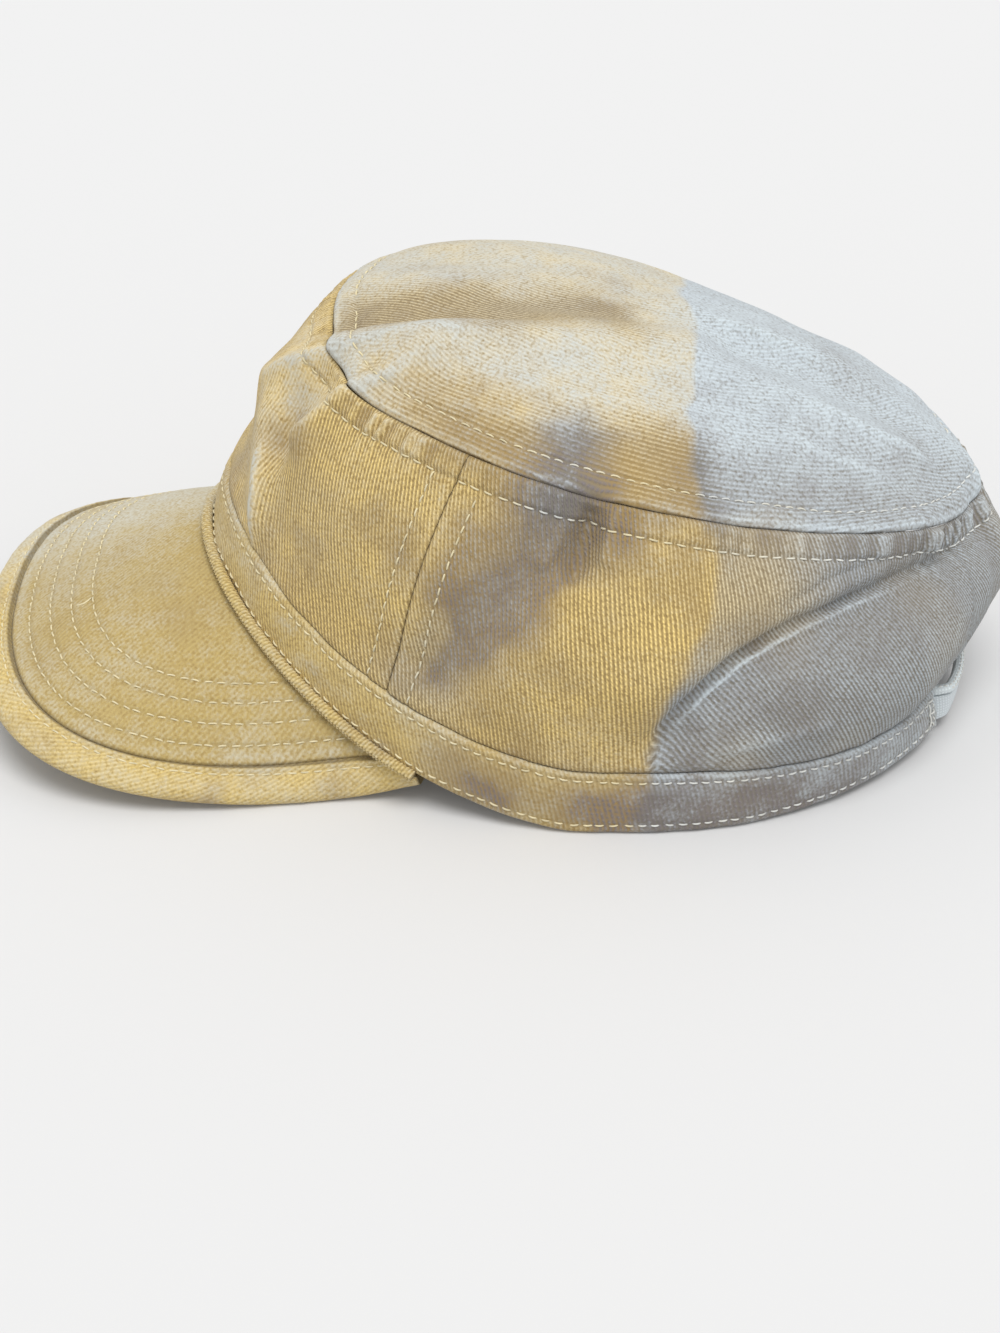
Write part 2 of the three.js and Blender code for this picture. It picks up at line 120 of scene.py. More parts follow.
# Sharper creases on top of the folds: height, width, how strong each end is, how pale its crest is worn, and
# its line.
CREASES = [
    # Crests and hollows of the forehead and its ridges
    (1.6, 2.8, (0, 0.3), 1.0, [(22, -80, 79), (25, -81, 74), (30, -82, 66), (31, -82, 60), (31, -83, 50)]),
    (1.9, 4.0, (0.4, 0), 0.7, [(3, -80, 85), (10, -79, 89), (17, -71, 95), (22, -63, 100), (26, -55, 104),
     (28, -44, 107), (29, -18, 109)]),
    (-1.6, 6, (0.2, 0), -0.5, [(0, -72, 95), (9, -62, 102), (16, -48, 106.5), (18, -30, 108),
     (17, -8, 107)]),
    (2.0, 3.2, (0, 0), 1.0, [(34, -74, 80), (37, -68, 87), (37.5, -63, 92), (38, -59, 96), (39.5, -54, 98.5),
     (39, -47, 102), (35, -39, 106)]),
    (-2.2, 3.2, (0.2, 0), -0.4, [(31, -74, 83), (33.5, -68, 89), (34.5, -62, 94), (35, -55, 100),
     (34, -46, 105)]),
    # The pinch under the seam on the left
    (-2.6, 2.4, (1, 0), 0, [(67.5, -1, 80), (69, -2.5, 75), (71, -4, 69), (72.5, -7, 63)]),
    (1.4, 3.2, (0.8, 0), 0.1, [(67, -7, 78), (69, -9, 73), (71.5, -13, 66)]),
    (1.6, 3, (1, 0), 0.15, [(68, 4, 80), (70.5, 3, 75), (73, 2, 68)]),
    # The slouch crease, the lip below it and the roll above it
    (-2.0, 1.5, (0.3, 0.2), 0, SLOUCH),
    (1.4, 1.4, (0.5, 0), 0.95, [(81, 15.2, 19.5), (80.5, 17.2, 26), (79.3, 21.2, 32), (77, 27, 38.3),
     (75, 34, 43.8), (70.5, 42.5, 47.7), (65, 51.5, 50), (58, 62.5, 51.3), (47, 75, 51.3), (35, 86.5, 50)]),
    (1.3, 4, (0.2, 0), 0, [(81, 11, 27), (79, 15, 35), (77, 22, 43), (75, 30, 49), (71, 38, 53),
     (66, 48, 56), (59, 61, 58), (48, 74, 57)]),
    # Soft creases on the left and over the top
    (-1.2, 2.6, (0, 0), 0, [(75, 40, 56), (64, 56, 61), (50, 73, 61)]),
    (1.0, 3.6, (0, 0), 0.4, [(80, 27, 22), (77, 44, 27), (70, 60, 29)]),
    (1.1, 2.8, (0, 0.3), 0.5, [(52, 73, 40), (42, 84, 34), (34, 91, 25)]),
    (0.9, 4, (0, 0), 0.3, [(40, -30, 105), (46, -2, 101), (44, 22, 98)]),
    (0.8, 4, (0, 0), 0.3, [(46, -42, 101), (52, -18, 97), (54, 0, 94)]),
    # The back of the top and its tuck
    (1.4, 3.6, (0, 0), 0.6, [(-4, 25, 99), (-5, 43, 93.5), (-3, 60, 86)]),
    (1.4, 3.4, (0, 0), 0.6, [(22, 50, 89), (23, 68, 80), (17, 87, 66)]),
    (0.8, 3, (0, 0), 0.3, [(36, 40, 90), (38, 58, 81), (33, 76, 70)]),
    (-1.6, 2.2, (0, 1), 0, [(-14, 84, 67), (-6, 92, 61), (4, 99, 56)]),
    (1.4, 2.6, (0, 1), 0.8, [(-9, 81, 69), (-1, 89, 63), (9, 96, 57)]),
    # Soft creases on the right
    (0.9, 4, (0, 0), 0.3, [(-60, -50, 70), (-70, -28, 52), (-74, -8, 34)]),
    (0.9, 4, (0, 0), 0.3, [(-70, 42, 60), (-62, 66, 46), (-48, 84, 36)]),
]

# How gathered the cloth is along the top seam, by the angle around the cap, and by how much more that shows
# on the wall than on the top.
GATHERS = Sizes(
    angle=(0, 30, 38, 47, 54, 72, 80, 95, 118, 130, 160, 180, 215, 300, 360),
    amount=(0.3, 0.3, 1.2, 1.2, 0.35, 0.3, 0.6, 0.3, 0.9, 1.5, 1.5, 1.1, 0.6, 0.4, 0.3),
    on_wall=1.6, on_top=0.5, count=220,
)
# How far the ribs of the walls lean forward for each millimetre up, by the angle from the forehead, and how
# the ribs of the top run: they lean a little and bend along its length.
RIB_LEAN = Sizes(angle=(0, 25, 45, 60, 90, 120, 150, 180), lean=(0, 0.26, 0.42, 0.42, 0.28, 0.33, 0.4, 0))
TOP_RIBS = Sizes(lean=0.15, bend=0.00625)
SEAM = Sizes(allowance=6.5, groove=0.38, groove_width=0.55, roll=0.45, channel=0.4, gap_angle=0.07)
UPRIGHT_SEAM = Sizes(allowance=6, share=0.55)
# How far the lining of a panel stays back from the band and from the top seam, as shares of the panel.
LINING = Sizes(from_band=0.045, from_seam=0.025, top_from_seam=0.024)
# Painted light: where the front of the cap, painted golden as in warm sunlight, turns into its back, painted
# grey as
# in cool shade: its Y low down and high up, the height from which it slants back, over how much height it
# does so, and how wide the change is.
SUNLIT_EDGE = Sizes(low_y=12, high_y=25, from_z=15, over_z=45, width=4.5)

# Two lines that more than one patch follows.
OVER_SEAM = [(58, -5, 92), (66, -8, 84)]
TOP_HOLLOW = [(6, -56, 104), (11, -42, 107), (13, -22, 108), (8, 4, 105)]
# Patches of painted shade and shadow, of painted light and of pale wear, each in one mark: the mark, how
# strong it is, how wide, and its line.
PATCHES = [
    # The slanting violet patch of painted shadow in the dent on the left, and the painted shade of the pinch
    ("shade_and_mottle", 0.8, 10, [(68, -10, 76), (70, -17, 66), (71.5, -25, 56)]),
    ("shade_and_mottle", 0.75, 5, [(71, -22, 58), (72, -30, 48), (70, -38, 38)]),
    ("shade_and_mottle", 0.35, 8, [(73, -22, 52), (73, -26, 36)]),
    ("shade_and_mottle", 1.0, 3.5, [(67.5, -3.5, 80), (70, -6, 75), (71.5, -9, 68)]),
    # Painted shade along the back of the top's edge, and behind the front seam
    ("shade_and_mottle", 0.42, 14, [(62, 26, 83), (55, 50, 78), (36, 78, 70)]),
    ("shade_and_mottle", 0.42, 6, [(69, -29, 76), (70, -36, 58)]),
    # The cool violet patch of painted shadow over the seam
    ("shade_and_mottle", 0.6, 9, OVER_SEAM),
    ("sunlit", -0.9, 9, OVER_SEAM),
    # A painted highlight along the far edge of the forehead, and the cool of the painted shadow of the
    # slanting patch
    ("wear_and_light", 0.55, 8, [(0, -70, 95), (14, -70, 93), (26, -67, 91)]),
    ("sunlit", -0.4, 9, [(69, -11, 74), (71, -20, 62), (69, -39, 37)]),
    # The top: painted shade in its hollow, and painted shadow near its seam on the left
    ("shade_and_mottle", 0.22, 11, TOP_HOLLOW),
    ("shade_and_mottle", 0.45, 10, [(44, -40, 99), (56, -30, 94), (60, -18, 90), (62, 2, 88), (57, 20, 88)]),
    ("shade_and_mottle", 0.3, 7, [(56, -30, 94), (61, -17, 91)]),
    # Painted shade in the dent between the ridges
    ("shade_and_mottle", 0.45, 6, [(27, -78, 79), (28, -73, 87)]),
    # Painted shade along the band
    ("shade_and_mottle", 0.6, 3.5, [(75, -28, 11), (77, -22, 8)]),
    ("shade_and_mottle", 0.7, 4.5, [(80.5, -2, 7), (80.7, 5, 5)]),
    ("shade_and_mottle", 0.7, 9, [(80.6, 12, 7), (81, 28, 5), (78, 46, 6)]),
    ("shade_and_mottle", 0.52, 10, [(74, -32, 14), (78, -18, 10), (80.5, -2, 7), (81, 14, 6), (78, 46, 6),
     (66, 74, 9)]),
    # Painted shade under the slouch, and the pale forehead
    ("shade_and_mottle", 0.4, 9, [(80, 24, 28), (74, 38, 39), (60, 62, 47), (40, 84, 47)]),
    ("wear_and_light", 0.35, 8, [(17, -80, 80), (25, -81, 68), (28, -82, 58)]),
    # The brown of painted shade in the hollow of the top, and a golden patch of painted warm sunlight on the
    # top
    ("wear_and_light", -0.9, 10, TOP_HOLLOW),
    ("wear_and_light", -0.55, 9, [(62, 4, 87), (57, 18, 88)]),
    # A painted sheen on the far side of the peak
    ("wear_and_light", 0.8, 20, [(-44, -104, 36), (-20, -116, 36)]),
]

# How well the ribs show on the top: they are hidden under pale, cool colour, partly bleached cloth and
# partly painted highlight of the lit top, except by its seam on the wearer's left, where they show best
# ahead of the middle.
BLEACHED_AND_LIT = Sizes(amount=0.7, ribbed=9, fading=22, from_angle=24, to_angle=94)

# Colours of the cloth painted golden in warm sunlight and grey in cool shade, the violet of painted shade
# and shadow, which mottling also uses, the pale colours of wear and painted highlight, and the brown of
# painted shade in seam grooves.
COLOURS = Sizes(
    khaki=(0.98, 0.74, 0.28),
    band_khaki=(0.72, 0.55, 0.205),
    peak_khaki=(0.50, 0.385, 0.15),
    cool_grey=(0.47, 0.52, 0.57),
    violet=(0.205, 0.178, 0.18),
    bleached_warm=(0.575, 0.565, 0.485),
    bleached_cool=(0.575, 0.645, 0.685),
    valley_warm=(0.33, 0.225, 0.085),
    valley_cool=(0.20, 0.185, 0.155),
    seam_brown=(0.075, 0.052, 0.025),
    thread=(0.82, 0.72, 0.46),
    pale_thread=(0.76, 0.77, 0.74),
    strap=(0.74, 0.80, 0.83),
    pale_binding=(0.80, 0.87, 0.89),
)


def lerp(a, b, t):
    return a + (b - a) * t


def smooth(t):
    t = np.clip(t, 0, 1)
    return t * t * (3 - 2 * t)


def bump(distance, width):
    return np.exp(-((distance / width) ** 2))


# A rise with a sharp crest, for creases.
def cusp(distance, width):
    return np.exp(-np.sqrt((distance / width) ** 2 + 0.04) * 1.6 + 0.32)


def unit(v):
    return v / np.maximum(np.linalg.norm(v, axis=-1, keepdims=True), 1e-12)


def point(*parts):
    return np.stack(np.broadcast_arrays(*parts), axis=-1).astype(float)


# A value given at the front, side and back of the cap, at an angle whose cosine is c.
def around(front, side, rear, c):
    return side + (front - rear) / 2 * c + ((front + rear) / 2 - side) * c * c


# How far an angle around the cap is from the middle of the forehead, in degrees.
def from_front(angle):
    return np.degrees(np.arccos(np.clip(np.cos(angle), -1, 1)))


def outward(angle):
    return unit(point(np.sin(angle) / HEAD.half_width, -np.cos(angle) / HEAD.front_length, 0))


def band_bottom(angle):
    s, c = np.sin(angle), np.cos(angle)
    arch = np.minimum(1, np.arccos(np.clip(c, -1, 1)) / radians(LIFT.arch_end))
    front_lift = LIFT.front * (1 + np.cos(math.pi * arch)) / 2
    rear_lift = LIFT.rear * ((1 - c) / 2) ** LIFT.rear_power
    z = np.maximum(0, front_lift + rear_lift - LIFT.flattened)
    length = lerp(HEAD.front_length, HEAD.rear_length, (1 - c) / 2)
    return point(HEAD.half_width * s * (1 - HEAD.back_egg * c), -length * c, z)


def band_height(angle):
    return around(BAND.front_height, BAND.side_height, BAND.rear_height, np.cos(angle))


# A point on the outer face of the band: share runs from 0 at its lower edge to 1 at its upper edge.
def band_face(angle, share):
    rolled = ROLL.height * bump(from_front(angle) - ROLL.at, ROLL.width)
    lean = (around(LEAN.front, LEAN.side, LEAN.rear, np.cos(angle)) - rolled) * share
    p = band_bottom(angle) - outward(angle) * np.asarray(lean)[..., None]
    p[..., 2] += band_height(angle) * share
    return p


def top_seam(angle):
    s, c = np.sin(angle), np.cos(angle)
    middle, half = (TOP_SEAM.front_y + TOP_SEAM.rear_y) / 2, (TOP_SEAM.rear_y - TOP_SEAM.front_y) / 2
    z = around(TOP_SEAM.front_z, TOP_SEAM.side_z, TOP_SEAM.rear_z, c)
    forward = CORNER.forward * bump(from_front(angle) - CORNER.at, CORNER.width)
    y = middle - half * c - forward + CORNER.middle_back * bump(from_front(angle), CORNER.middle_width)
    return point(TOP_SEAM.half_width * s * (1 + TOP_SEAM.front_egg * c), y, z)


# The way the cloth faces, near enough, anywhere on the crown.
def facing(p):
    return unit((p - (0, 5, 25)) / np.square((80, 98, 82)))


# How far each point is from a line of points, and how far along the line its nearest place is, from 0 to 1.
# Across the cloth alone, the way that the cloth faces doesn't count.
def near_line(p, line, across_cloth=False):
    ends = np.array(line, float)
    lengths = np.linalg.norm(np.diff(ends, axis=0), axis=1)
    begins = np.concatenate([[0], np.cumsum(lengths)])
    nearest = np.full(p.shape[:-1], np.inf)
    along = np.zeros(p.shape[:-1])
    for start, end, length, begin in zip(ends, ends[1:], lengths, begins):
        way = (end - start) / length
        reach = np.clip((p - start) @ way, 0, length)
        apart = p - start - reach[..., None] * way
        away = np.linalg.norm(apart, axis=-1)
        if across_cloth:
            away = np.sqrt(np.maximum(0, away**2 - 0.9 * np.sum(apart * facing(p), axis=-1) ** 2))
        closer = away < nearest
        nearest = np.where(closer, away, nearest)
        along = np.where(closer, (begin + reach) / begins[-1], along)
    return nearest, along


def folded(p, share=1.0):
    height = 0
    for fold_height, width, line in FOLDS:
        height = height + fold_height * bump(near_line(p, line)[0], width)
    return p + facing(p) * np.asarray(height * share)[..., None]


# The wall of the crown: rise runs from 0 at the band to 1 at the top seam.
def wall(angle, rise):
    c = np.cos(angle)
    bulge = around(WALL.front_bulge, WALL.side_bulge, WALL.rear_bulge, c)
    power = around(BULGE_POWER.front, BULGE_POWER.side, BULGE_POWER.rear, c)
    p = lerp(band_face(angle, 1), top_seam(angle), np.asarray(rise)[..., None])
    p = p + outward(angle) * (bulge * np.sin(math.pi * rise**power))[..., None]
    return folded(p, smooth(rise * 5))


# The top panel: reach runs from 0 at its middle to 1 at the seam.
def top(angle, reach):
    c = np.cos(angle) * reach
    middle = (TOP_SEAM.front_y + TOP_SEAM.rear_y) / 2
    p = top_seam(angle)
    dome = around(TOP.front_dome, TOP.side_dome, TOP.rear_dome, c)
    seam_height = around(TOP_SEAM.front_z, TOP_SEAM.side_z, TOP_SEAM.rear_z, c)
    height = seam_height + dome * (1 - reach**TOP.dome_power)
    return folded(point(p[..., 0] * reach, lerp(middle, p[..., 1], reach), height))


def arch_rise(angle):
    across = np.abs(angle - math.pi) / radians(ARCH.half_angle)
    return ARCH.rise * np.sqrt(np.maximum(0, 1 - across**2))


def front_seam_angle(rise):
    return radians(lerp(FRONT_SEAM.at_band, FRONT_SEAM.at_top, rise))


# Smooth lumps from -1 to 1, of a size in millimetres that may differ along X, Y and Z.
def lumps(p, size, seed):
    spot = p / np.asarray(size, float) + seed * 7.31
    cell = np.floor(spot).astype(np.int64)
    part = smooth(spot - cell)
    total = 0
    for corner in np.ndindex(2, 2, 2):
        weight = np.prod(np.where(corner, part, 1 - part), axis=-1)
        key = (cell + corner) @ np.array([73856093, 19349663, 83492791]) + seed * 40503
        key = (key ^ (key >> 13)) * 1274126177 & 0x7FFFFFFF
        total = total + weight * ((key >> 8 & 0xFFFF) / 0x7FFF - 1)
    return total


def arc_lengths(points, axis):
    steps = np.linalg.norm(np.diff(points, axis=axis), axis=-1)
    zero = np.zeros_like(np.take(steps, [0], axis=axis))
    return np.concatenate([zero, np.cumsum(steps, axis=axis)], axis=axis)


# Evenly rising values from 0 to 1 that lie closer together towards both ends.
def closer_at_ends(count, amount=0.5):
    t = np.linspace(0, 1, count + 1)
    return t - amount * np.sin(2 * math.pi * t) / (2 * math.pi)


# The unit normals of a grid of points, out of the face that sees its columns run left to right.
def grid_normals(points, closed=False):
    wide = np.concatenate([points[:, -2:-1], points, points[:, 1:2]], axis=1) if closed else points
    normals = unit(np.cross(np.gradient(wide, axis=1), np.gradient(wide, axis=0)))
    return normals[:, 1:-1] if closed else normals


# Meshes

def grid_faces(rows, columns, start=0):
    at = start + np.arange((rows + 1) * (columns + 1)).reshape(rows + 1, columns + 1)
    return np.stack([at[:-1, :-1], at[:-1, 1:], at[1:, 1:], at[1:, :-1]], -1).reshape(-1, 4)


def rim_faces(outer, inner):
    return np.stack([outer[1:], outer[:-1], inner[:-1], inner[1:]], -1).tolist()


def place_object(name, data):
    placed = bpy.data.objects.new(name, data)
    bpy.context.collection.objects.link(placed)
    return placed


# A named mesh from points in millimetres. Points at the same place are joined. Cloth holds each point's
# place on the flat cloth, and marks hold what its material reads.
def make_mesh(name, points, faces, material, cloth=None, marks=None):
    flat = points.reshape(-1, 3)
    _, first, same = np.unique(np.round(flat, 4), axis=0, return_index=True, return_inverse=True)
    same = same.reshape(-1).tolist()
    joined, corners = [], []
    for face in faces:
        kept = [k for n, k in enumerate(face) if same[k] != same[face[n - 1]]]
        if len(kept) > 2:
            joined.append([same[k] for k in kept])
            corners += kept
    mesh = bpy.data.meshes.new(name)
    mesh.from_pydata(((flat[first] - (0, MIDDLE_Y, 0)) / 1000).tolist(), [], joined)
    mesh.polygons.foreach_set("use_smooth", np.ones(len(joined), bool))
    if cloth is not None:
        layer = mesh.uv_layers.new(name="cloth")
        layer.data.foreach_set("uv", cloth.reshape(-1, 2)[corners].astype(np.float32).ravel())
    for mark, values in (marks or {}).items():
        attribute = mesh.attributes.new(mark, "FLOAT", "POINT")
        attribute.data.foreach_set("value", np.asarray(values, np.float32).reshape(-1)[first])
    mesh.materials.append(material)
    piece = place_object(name, mesh)
    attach(piece, "root")
    return piece


# The piece stands for a solid of the frame, which is hidden.
def dress(piece, node):
    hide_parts(node)
    return piece


# How much painted warm sunlight, painted shade with some mottling, and wear with painted highlight the cloth
# has at each point, by its place on the cap.
def tone(p):
    x, y, z = p[..., 0], p[..., 1], p[..., 2]
    slant = lerp(SUNLIT_EDGE.low_y, SUNLIT_EDGE.high_y, smooth((z - SUNLIT_EDGE.from_z) / SUNLIT_EDGE.over_z))
    behind = smooth((y - slant - 3 * lumps(p, 22, 3) - 1.5 * lumps(p, 6, 4) + 2) / SUNLIT_EDGE.width)
    above = smooth((z - 40 - 0.25 * (y - 30)) / 12)
    left_over = lerp(0.08, 0.55, above) * (1 - smooth((y - 34) / 34)) * (1 - smooth((z - 74) / 8))
    far_side = smooth((20 - x) / 60)
    # Painted light: warm sunlight on the front of the cap, cool shade on its back.
    sunlit = lerp(1, left_over, behind * lerp(1, 0.7, far_side)) + 0.12 * lumps(p, 14, 5)
    marks = {"sunlit": sunlit, "shade_and_mottle": 0.06 * lumps(p, 10, 6), "wear_and_light": 0.08 + 0.14 * lumps(p, 16, 7)}
    for mark, amount, width, line in PATCHES:
        ragged = 0.35 * width * lumps(p, width * 0.8, 8) + 0.12 * width * lumps(p, width * 0.25, 9)
        away = np.maximum(near_line(p, line, True)[0] + ragged, 0)
        marks[mark] += amount * bump(away, width)
    return marks


# The sharper creases at each point: how far they push the cloth out, and how worn their crests are.
def creases(p):
    height = np.zeros(p.shape[:-1])
    wear_and_light = np.zeros(p.shape[:-1])
    for crease_height, width, (start, end), paleness, line in CREASES:
        away, along = near_line(p, line, True)
        strength = lerp(start, 1, smooth(along * 4)) * lerp(end, 1, smooth((1 - along) * 4))
        height += crease_height * strength * cusp(away, width)
        wear_and_light += paleness * strength * bump(away, width * 0.42)
    return height, wear_and_light


# The puckers under a seam: upright ripples along it that start at the seam and fade below the stitches.
def gathers(along, distance, angle, share, seed):
    rng = np.random.default_rng(seed)
    places = np.cumsum(rng.uniform(2.6, 6.2, GATHERS.count))
    heights, widths = rng.uniform(0.25, 1, GATHERS.count), rng.uniform(0.9, 1.9, GATHERS.count)
    amount = np.interp(np.degrees(angle) % 360, GATHERS.angle, GATHERS.amount) * share
    ripple = sum(h * bump(along - place, w) for place, h, w in zip(places, heights, widths))
    past_stitches = smooth((distance - 5) / 2.5)
    reach = smooth(distance / 1.5) * (1 - 0.75 * past_stitches) * (1 - smooth((distance - 9) / 8))
    near_ends = smooth(np.minimum(along, along.max() - along) / 4)
    return (ripple - 0.35) * reach * amount * near_ends


# How cloth lies beside a sewn seam: it turns down into the seam, rises over the allowance inside, and is
# pulled in along the row of stitches.
def beside_seam(distance, allowance=SEAM.allowance):
    turned = -SEAM.groove * bump(distance, SEAM.groove_width)
    rolled = SEAM.roll * smooth(distance / 1.3) * (1 - smooth((distance - allowance + 1.6) / 2.2))
    return turned + rolled - SEAM.channel * bump(distance - allowance, 0.8)


# Painted shade: a dark line in the groove of a seam and a fainter one along its row of stitches.
def seam_groove_shade(distance, allowance=SEAM.allowance):
    return 0.35 * bump(distance, 0.28) + 0.1 * bump(distance - allowance, 0.5)


# A sheet of cloth of some thickness: its outer grid of points, a coarser grid below it that has one row for
# every few rows of the outer one, and the rim between them. A closed sheet runs right round.
def sheet_mesh(name, skin, lining, material, cloth, marks, closed=False):
    rows, columns = skin.shape[0] - 1, skin.shape[1] - 1
    bands = lining.shape[0] - 1
    step = rows // bands
    count = (rows + 1) * (columns + 1)
    at = np.arange(count).reshape(rows + 1, columns + 1)
    below = count + np.arange((bands + 1) * (columns + 1)).reshape(bands + 1, columns + 1)
    faces = grid_faces(rows, columns).tolist() + grid_faces(bands, columns, count)[:, ::-1].tolist()
    faces += rim_faces(at[-1, ::-1], below[-1, ::-1])
    if closed:
        faces = [face[::-1] for face in faces]
    else:
        faces += rim_faces(at[0], below[0])
        for outer, inner in ((at[:, -1], below[:, -1]), (at[::-1, 0], below[::-1, 0])):
            for k in range(bands):
                faces.append([*outer[k * step:(k + 1) * step + 1][::-1].tolist(), *inner[k:k + 2].tolist()])
    both = {mark: np.concatenate([values.ravel(), values[::step].ravel()]) for mark, values in marks.items()}
    points = np.concatenate([skin.reshape(-1, 3), lining.reshape(-1, 3)])
    uv = np.concatenate([cloth.reshape(-1, 2), cloth[::step].reshape(-1, 2)])
    return make_mesh(name, points, faces, material, uv, both)


# A solid strip: each row of the grid is one closed section, whose last point is its first.
def strip_mesh(name, sections, material, cloth, marks):
    steps, sides = sections.shape[0] - 1, sections.shape[1] - 1
    at = np.arange((steps + 1) * (sides + 1)).reshape(steps + 1, sides + 1)
    faces = grid_faces(steps, sides)[:, ::-1].tolist() + [at[0, :-1].tolist(), at[-1, -2::-1].tolist()]
    return make_mesh(name, sections, faces, material, cloth, marks)


# Stitches

# The line on a panel where a distance has a value, with the normals there. Axis 0 crosses the panel's rows.
def contour(panel, distance, value, axis=0):
    d = np.moveaxis(distance, axis, 0)
    points, normals = np.moveaxis(panel.points, axis, 0), np.moveaxis(panel.normals, axis, 0)
    crossing = (d[:-1] - value) * (d[1:] - value) <= 0
    across = np.arange(d.shape[1])
    k = crossing.argmax(0)
    t = ((value - d[k, across]) / (d[k + 1, across] - d[k, across] + 1e-9))[:, None]
    there = crossing.any(0)
    line = lerp(points[k, across], points[k + 1, across], t)[there]
    return line, unit(lerp(normals[k, across], normals[k + 1, across], t))[there]


THREAD = Sizes(radius=0.24, sides=6, rings=9)
STITCH = Sizes(pitch=3.4, length=2.95)


# Threads, given the places of their rings, as grids of points with closed ends.
def thread_grids(place, up, side):
    t = np.linspace(-1, 1, THREAD.rings)
    size = THREAD.radius * np.sqrt(np.maximum(0, 1 - np.abs(t) ** 5))
    turn = np.linspace(0, 2 * math.pi, THREAD.sides + 1)
    ring = np.cos(turn)[:, None] * side[..., None, :] + np.sin(turn)[:, None] * up[..., None, :]
    return place[:, :, None, :] + ring * size[None, :, None, None]


# A row of stitches along a line, whose ends dip into the cloth.
def stitch_row(line, seed, pitch=STITCH.pitch, length=STITCH.length, height=0.2, dip=0.5):
    points, normals = line
    rng = np.random.default_rng(seed)
    along = arc_lengths(points, 0)
    count = max(1, int((along[-1] - length) / pitch))
    centres = length / 2 + pitch * np.arange(count) + rng.uniform(-0.1, 0.1, count) * pitch
    t = np.linspace(-1, 1, THREAD.rings)
    spots = centres[:, None] + t * (length / 2) * rng.uniform(0.9, 1.05, count)[:, None]
    place = np.stack([np.interp(spots, along, points[:, k]) for k in range(3)], -1)
    up = unit(np.stack([np.interp(spots, along, normals[:, k]) for k in range(3)], -1))
    side = unit(np.cross(up, np.gradient(place, axis=1)))
    lift = height - (height + dip) * np.abs(t) ** 2.6
    lean = rng.uniform(-0.2, 0.2, count)[:, None] * t
    return thread_grids(place + up * lift[None, :, None] + side * lean[..., None], up, side)


# A loose end of thread that lies on the cloth and curls a little, from a point and its normal.
def loose_end(start, normal, way, length, curl):
    t = np.linspace(0, 1, THREAD.rings)[:, None]
    normal = unit(np.asarray(normal, float))
    way = unit(way - normal * np.dot(way, normal))
    beside = np.cross(normal, way)
    raised = normal * (0.3 + 0.5 * t * (1 - t))
    place = start + way * length * t + beside * curl * np.sin(math.pi * t) + raised
    side = unit(np.cross(normal, np.gradient(place, axis=0)))
    return thread_grids(place[None], np.broadcast_to(normal, place[None].shape), side[None])


def stitch_mesh(name, rows, material):
    grids = np.concatenate(rows)
    count = grids.shape[1] * grids.shape[2]
    one = grid_faces(grids.shape[1] - 1, grids.shape[2] - 1)
    faces = (np.arange(len(grids))[:, None, None] * count + one).reshape(-1, 4)
    # The threads take the painted sunlight and shade of the cloth at their place.
    return make_mesh(name, grids, faces.tolist(), material, marks={"sunlit": tone(grids)["sunlit"]})


# Materials

class Nodes:
    """A short way to write a material's nodes."""

    def __init__(self, name):
        self.material = bpy.data.materials.new(name)
        self.material.use_nodes = True
        self.tree = self.material.node_tree
        self.shader = self.tree.nodes["Principled BSDF"]

    def set(self, socket, value):
        if isinstance(value, bpy.types.NodeSocket):
            self.tree.links.new(value, socket)
        elif value is not None:
            socket.default_value = value

    def add(self, kind):
        return self.tree.nodes.new("ShaderNode" + kind)

    def constants(self, **values):
        for name, value in values.items():
            self.shader.inputs[name.replace("_", " ")].default_value = value

    def maths(self, operation, a, b=None, c=None, clamp=False):
        node = self.add("Math")
        node.operation = operation
        node.use_clamp = clamp
        for socket, value in zip(node.inputs, (a, b, c)):
            self.set(socket, value)
        return node.outputs[0]

    def times(self, a, b):
        return self.maths("MULTIPLY", a, b)

    def plus(self, a, b, clamp=False):
        return self.maths("ADD", a, b, clamp=clamp)

    def scaled(self, value, factor, offset, clamp=False):
        return self.maths("MULTIPLY_ADD", value, factor, offset, clamp)

    def mix(self, share, a, b):
        node = self.add("Mix")
        node.data_type = "RGBA"
        node.clamp_factor = True
        self.set(node.inputs[0], share)
        self.set(node.inputs[6], a if isinstance(a, bpy.types.NodeSocket) else (*a, 1))
        self.set(node.inputs[7], b if isinstance(b, bpy.types.NodeSocket) else (*b, 1))
        return node.outputs[2]

    def mark(self, name):
        node = self.add("Attribute")
        node.attribute_name = name
        return node.outputs["Fac"]

    def noise(self, size, detail=2.0):
        node = self.add("TexNoise")
        node.inputs["Scale"].default_value = 1000 / size
        node.inputs["Detail"].default_value = detail
        self.set(node.inputs["Vector"], self.place())
        return node.outputs["Fac"]

    def place(self):
        if not hasattr(self, "coordinates"):
            self.coordinates = self.add("TexCoord")
        return self.coordinates.outputs["Object"]

    def along(self, slope):
        """How far a point of the flat cloth lies along a way at that angle, in millimetres."""
        if not hasattr(self, "flat"):
            uv = self.add("UVMap")
            uv.uv_map = "cloth"
            self.flat = self.add("SeparateXYZ")
            self.set(self.flat.inputs[0], uv.outputs[0])
        turn = radians(slope)
        across = self.times(self.flat.outputs["X"], math.cos(turn))
        return self.plus(across, self.times(self.flat.outputs["Y"], math.sin(turn)))

    def wave(self, distance, pitch):
        return self.scaled(self.maths("SINE", self.times(distance, 2 * math.pi / pitch)), 0.5, 0.5)

    def finish(self, colour, height, depth, roughness=0.92):
        self.set(self.shader.inputs["Base Color"], colour)
        self.constants(Roughness=roughness, Specular_IOR_Level=0.15, Sheen_Weight=0.12, Sheen_Roughness=0.6)
        node = self.add("Bump")
        node.inputs["Strength"].default_value = 1.0
        node.inputs["Distance"].default_value = depth / 1000
        self.set(node.inputs["Height"], height)
        self.set(self.shader.inputs["Normal"], node.outputs["Normal"])
        return self.material
